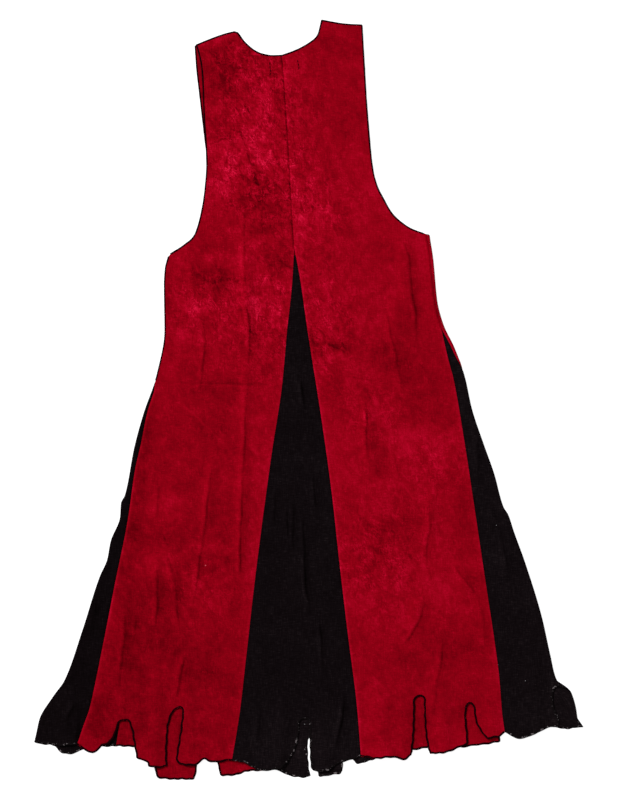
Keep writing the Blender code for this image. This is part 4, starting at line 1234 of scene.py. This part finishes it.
redCloth = {
    "colours": ((46, 0, 4), (102, 0, 11), (142, 2, 20), (175, 6, 37), (212, 24, 62)),  # darkest first; the darkest stops come from painted shade as well as from dye
    "lint": (190, 84, 96), "roughness": 0.92, "specular": 0.0, "slub": 1.0, "bright": 2.6,
    "crumpleScale": 100.0, "cloudScale": 9.0, "lintScale": 15.0, "lintRarity": 0.975,
    "dyeAndPaintedLightGain": 0.22, "cloudGain": 0.34, "weaveGain": 0.25, "weaveCrush": 0.13, "poolGain": 0.55,
    "crumpleLightGain": 0.52, "crushHeight": 0.9, "weaveHeight": 0.12, "bump": 1.0,
}
blackCloth = {
    "colours": ((4, 2, 2), (10, 6, 7), (15, 10, 12), (24, 18, 20), (40, 32, 34)),
    "lint": (120, 118, 120), "roughness": 0.92, "specular": 0.0, "slub": 1.0, "bright": 1.2,
    "crumpleScale": 50.0, "cloudScale": 7.0, "lintScale": 22.0, "lintRarity": 0.92,
    "dyeAndPaintedLightGain": 0.3, "cloudGain": 0.25, "weaveGain": 0.74, "weaveCrush": 0.0, "poolGain": 0.3,
    "crumpleLightGain": 0.3, "crushHeight": 0.4, "weaveHeight": 0.12, "bump": 1.0,
}
blackThread = {
    "colour": (24, 2, 6), "sheenFleck": (96, 60, 66), "fleckScale": 420.0, "fleckLevel": 0.72,
    "roughness": 0.6, "specular": 0.0,
}
blackThreadOnBlack = dict(
    blackThread, colour=(16, 12, 13), sheenFleck=(112, 104, 106), fleckScale=170.0, fleckLevel=0.6
)

redLinen = linen("redLinen", redCloth)
blackLinen = linen("blackLinen", blackCloth)
threadOnRed = thread("threadOnRed", blackThread)
threadOnBlack = thread("threadOnBlack", blackThreadOnBlack)
print("materials made")

# Dip and ridge in millimetres, tone (painted shade below nought, painted highlight above), and its reach in
# millimetres, beside each kind of seam
redSeams = {"centre": (0.45, 0.1, -1.3, 2.6), "gore": (0.3, 0.45, 0.7, 3.0), "side": (0.3, 0.2, -1.0, 1.6)}
rightSeams = dict(redSeams, centre=(0.2, 0.3, 0.2, 3.0))
blackSeams = {"gore": (0.5, 0.05, -0.5, 2.0)}

# The overlock: width and thickness of the band on each kind of edge, in millimetres
wrap = {
    "sides": 8, "ring": 0.9, "pitch": 2.7, "slant": 1, "ridge": 0.22, "lap": 0.65, "wander": 0.18,
    "wanderStep": 6.0,
    "bands": {"raw": (3.1, 0.32), "hem": (3.9, 0.32)},
}
sideWrap = dict(wrap, bands=dict(wrap["bands"], side=(4.2, 1.2)))

backPanelLeft = {
    "slot": "red_linen", "seams": redSeams, "dyeAndPaintedLight": 1.0, "shade": 0.0, "creases": 1.5, "crumple": 1.0,
    "clouds": toneClouds, "turnPaintedShade": 1.2, "restsOn": ["front_panel_left", "front_gore"],
    "overlock": dict(sideWrap, seed=11),
}
backPanelRight = dict(
    backPanelLeft, shade=0.03, seams=rightSeams, restsOn=["front_panel_right", "front_gore"],
    overlock=dict(wrap, seed=12),
)
frontPanelLeft = dict(backPanelLeft, shade=-0.1, restsOn=["floor"], overlock=dict(wrap, seed=13))
frontPanelRight = dict(backPanelLeft, shade=-0.05, restsOn=["floor"], overlock=dict(wrap, seed=14))
blackClouds = table(cloudAt, (-60, 1200, 120, 60, 0.3), (60, 1190, 60, 50, 0.2), (430, 1150, 60, 60, 0.2))
backGore = {
    "slot": "black_linen", "seams": blackSeams, "dyeAndPaintedLight": 1.0, "shade": 0.0, "creases": 1.4, "crumple": 0.6,
    "clouds": blackClouds, "turnPaintedShade": 0.8, "restsOn": ["front_gore", "front_panel_left"],
    "overlock": dict(wrap, seed=15),
}
frontGore = dict(backGore, shade=0.15, restsOn=["floor"], overlock=dict(wrap, seed=16))
sideGoreLeft = dict(backGore, shade=-0.25, restsOn=["floor"], overlock=dict(wrap, seed=17))
sideGoreRight = dict(backGore, shade=0.2, restsOn=["floor"], overlock=dict(wrap, seed=18))

red, black = (redLinen, threadOnRed), (blackLinen, threadOnBlack)
pieces = (
    ("front_panel_left", frontPanelLeft, frontPanelLeftRuns, left, lower, red),
    ("front_panel_right", frontPanelRight, frontPanelRightRuns, right, lower, red),
    ("front_gore", frontGore, frontGoreRuns, None, lower, black),
    ("back_panel_left", backPanelLeft, backPanelLeftRuns, left, upper, red),
    ("back_panel_right", backPanelRight, backPanelRightRuns, right, upper, red),
    ("back_gore", backGore, backGoreRuns, None, upper, black),
    ("side_gore_left", sideGoreLeft, sideGoreLeftRuns, left, upper, black),
    ("side_gore_right", sideGoreRight, sideGoreRightRuns, right, upper, black),
)
for name, settings, runsOf, side, start, (cloth, wrapping) in pieces:
    runs = runsOf(meshing["step"] if start == upper else meshing["frontStep"])
    shell = clothPiece(name + "_cloth", settings, runs, side, start, cloth)
    edgeRuns = runsOf(meshing["edgeStep"])
    edging = overlock(name + "_overlock", settings["overlock"], edgeRuns, side, start, wrapping)
    for made in (shell, edging):
        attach(made, "root")
    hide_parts(name)

# The two short rows of stitches that hold the label, under the back neck
labelStitches = {"sides": 6, "radius": 0.62, "length": 4.2, "gap": 1.6, "lift": 0.5, "dip": 0.15}
labelRows = (
    ((-64.5, 70), (-64, 78), (-63, 86), (-64.5, 92)),
    ((-19, 66), (-17.5, 72), (-16.5, 78), (-17, 83), (-14, 86)),
)
stitches = tubes("label_stitches", stitchPaths(labelRows, labelStitches), labelStitches, threadOnRed)
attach(stitches, "root")

ground = {"size": 12.0, "under": 0.0004, "roughness": 0.9, "grey": 0.35, "glow": 0.88}
half = ground["size"] / 2
corners = [(-half, -half, 0), (half, -half, 0), (half, half, 0), (-half, half, 0)]
floorMesh = bpy.data.meshes.new("floor")
floorMesh.from_pydata(corners, [], [(0, 1, 2, 3)])
floor = addObject("floor", floorMesh)
floor.location.z = -ground["under"]
floorMaterial, _, floorShader = newMaterial("floorWhite", ground["roughness"], 0.0)
floorShader.inputs["Base Color"].default_value = (ground["grey"],) * 3 + (1.0,)
floorShader.inputs["Emission Color"].default_value = (1.0, 1.0, 1.0, 1.0)
floorShader.inputs["Emission Strength"].default_value = ground["glow"]
floorMesh.materials.append(floorMaterial)

# Camera straight over the dress with a long lens, so that a photo pixel covers 1.65 mm
cameraPlace = {"height": 9.0, "frame": 1.320, "x": 0.00025, "y": -0.0004, "film": 36.0, "far": 50.0}
cameraData = bpy.data.cameras.new("camera")
cameraData.sensor_width = cameraPlace["film"]
cameraData.lens = cameraPlace["film"] * cameraPlace["height"] / cameraPlace["frame"]
cameraData.clip_end = cameraPlace["far"]
camera = addObject("camera", cameraData)
camera.location = (cameraPlace["x"], cameraPlace["y"], cameraPlace["height"])
bpy.context.scene.camera = camera

light = {"key": 860.0, "keyPlace": (-5.0, 4.6, 6.6), "keySize": 2.4, "world": 0.44}
keyData = bpy.data.lights.new("key", "AREA")
keyData.energy = light["key"]
keyData.size = light["keySize"]
key = addObject("key", keyData)
key.location = light["keyPlace"]
key.rotation_euler = (-Vector(light["keyPlace"])).to_track_quat("-Z", "Y").to_euler()
world = bpy.data.worlds.new("studio")
world.use_nodes = True
background = world.node_tree.nodes["Background"]
background.inputs[0].default_value = (1.0, 1.0, 1.0, 1.0)
background.inputs[1].default_value = light["world"]
bpy.context.scene.world = world
bpy.context.scene.view_settings.view_transform = "Standard"
bpy.context.scene.view_settings.look = "None"
print("stage, camera and light made")
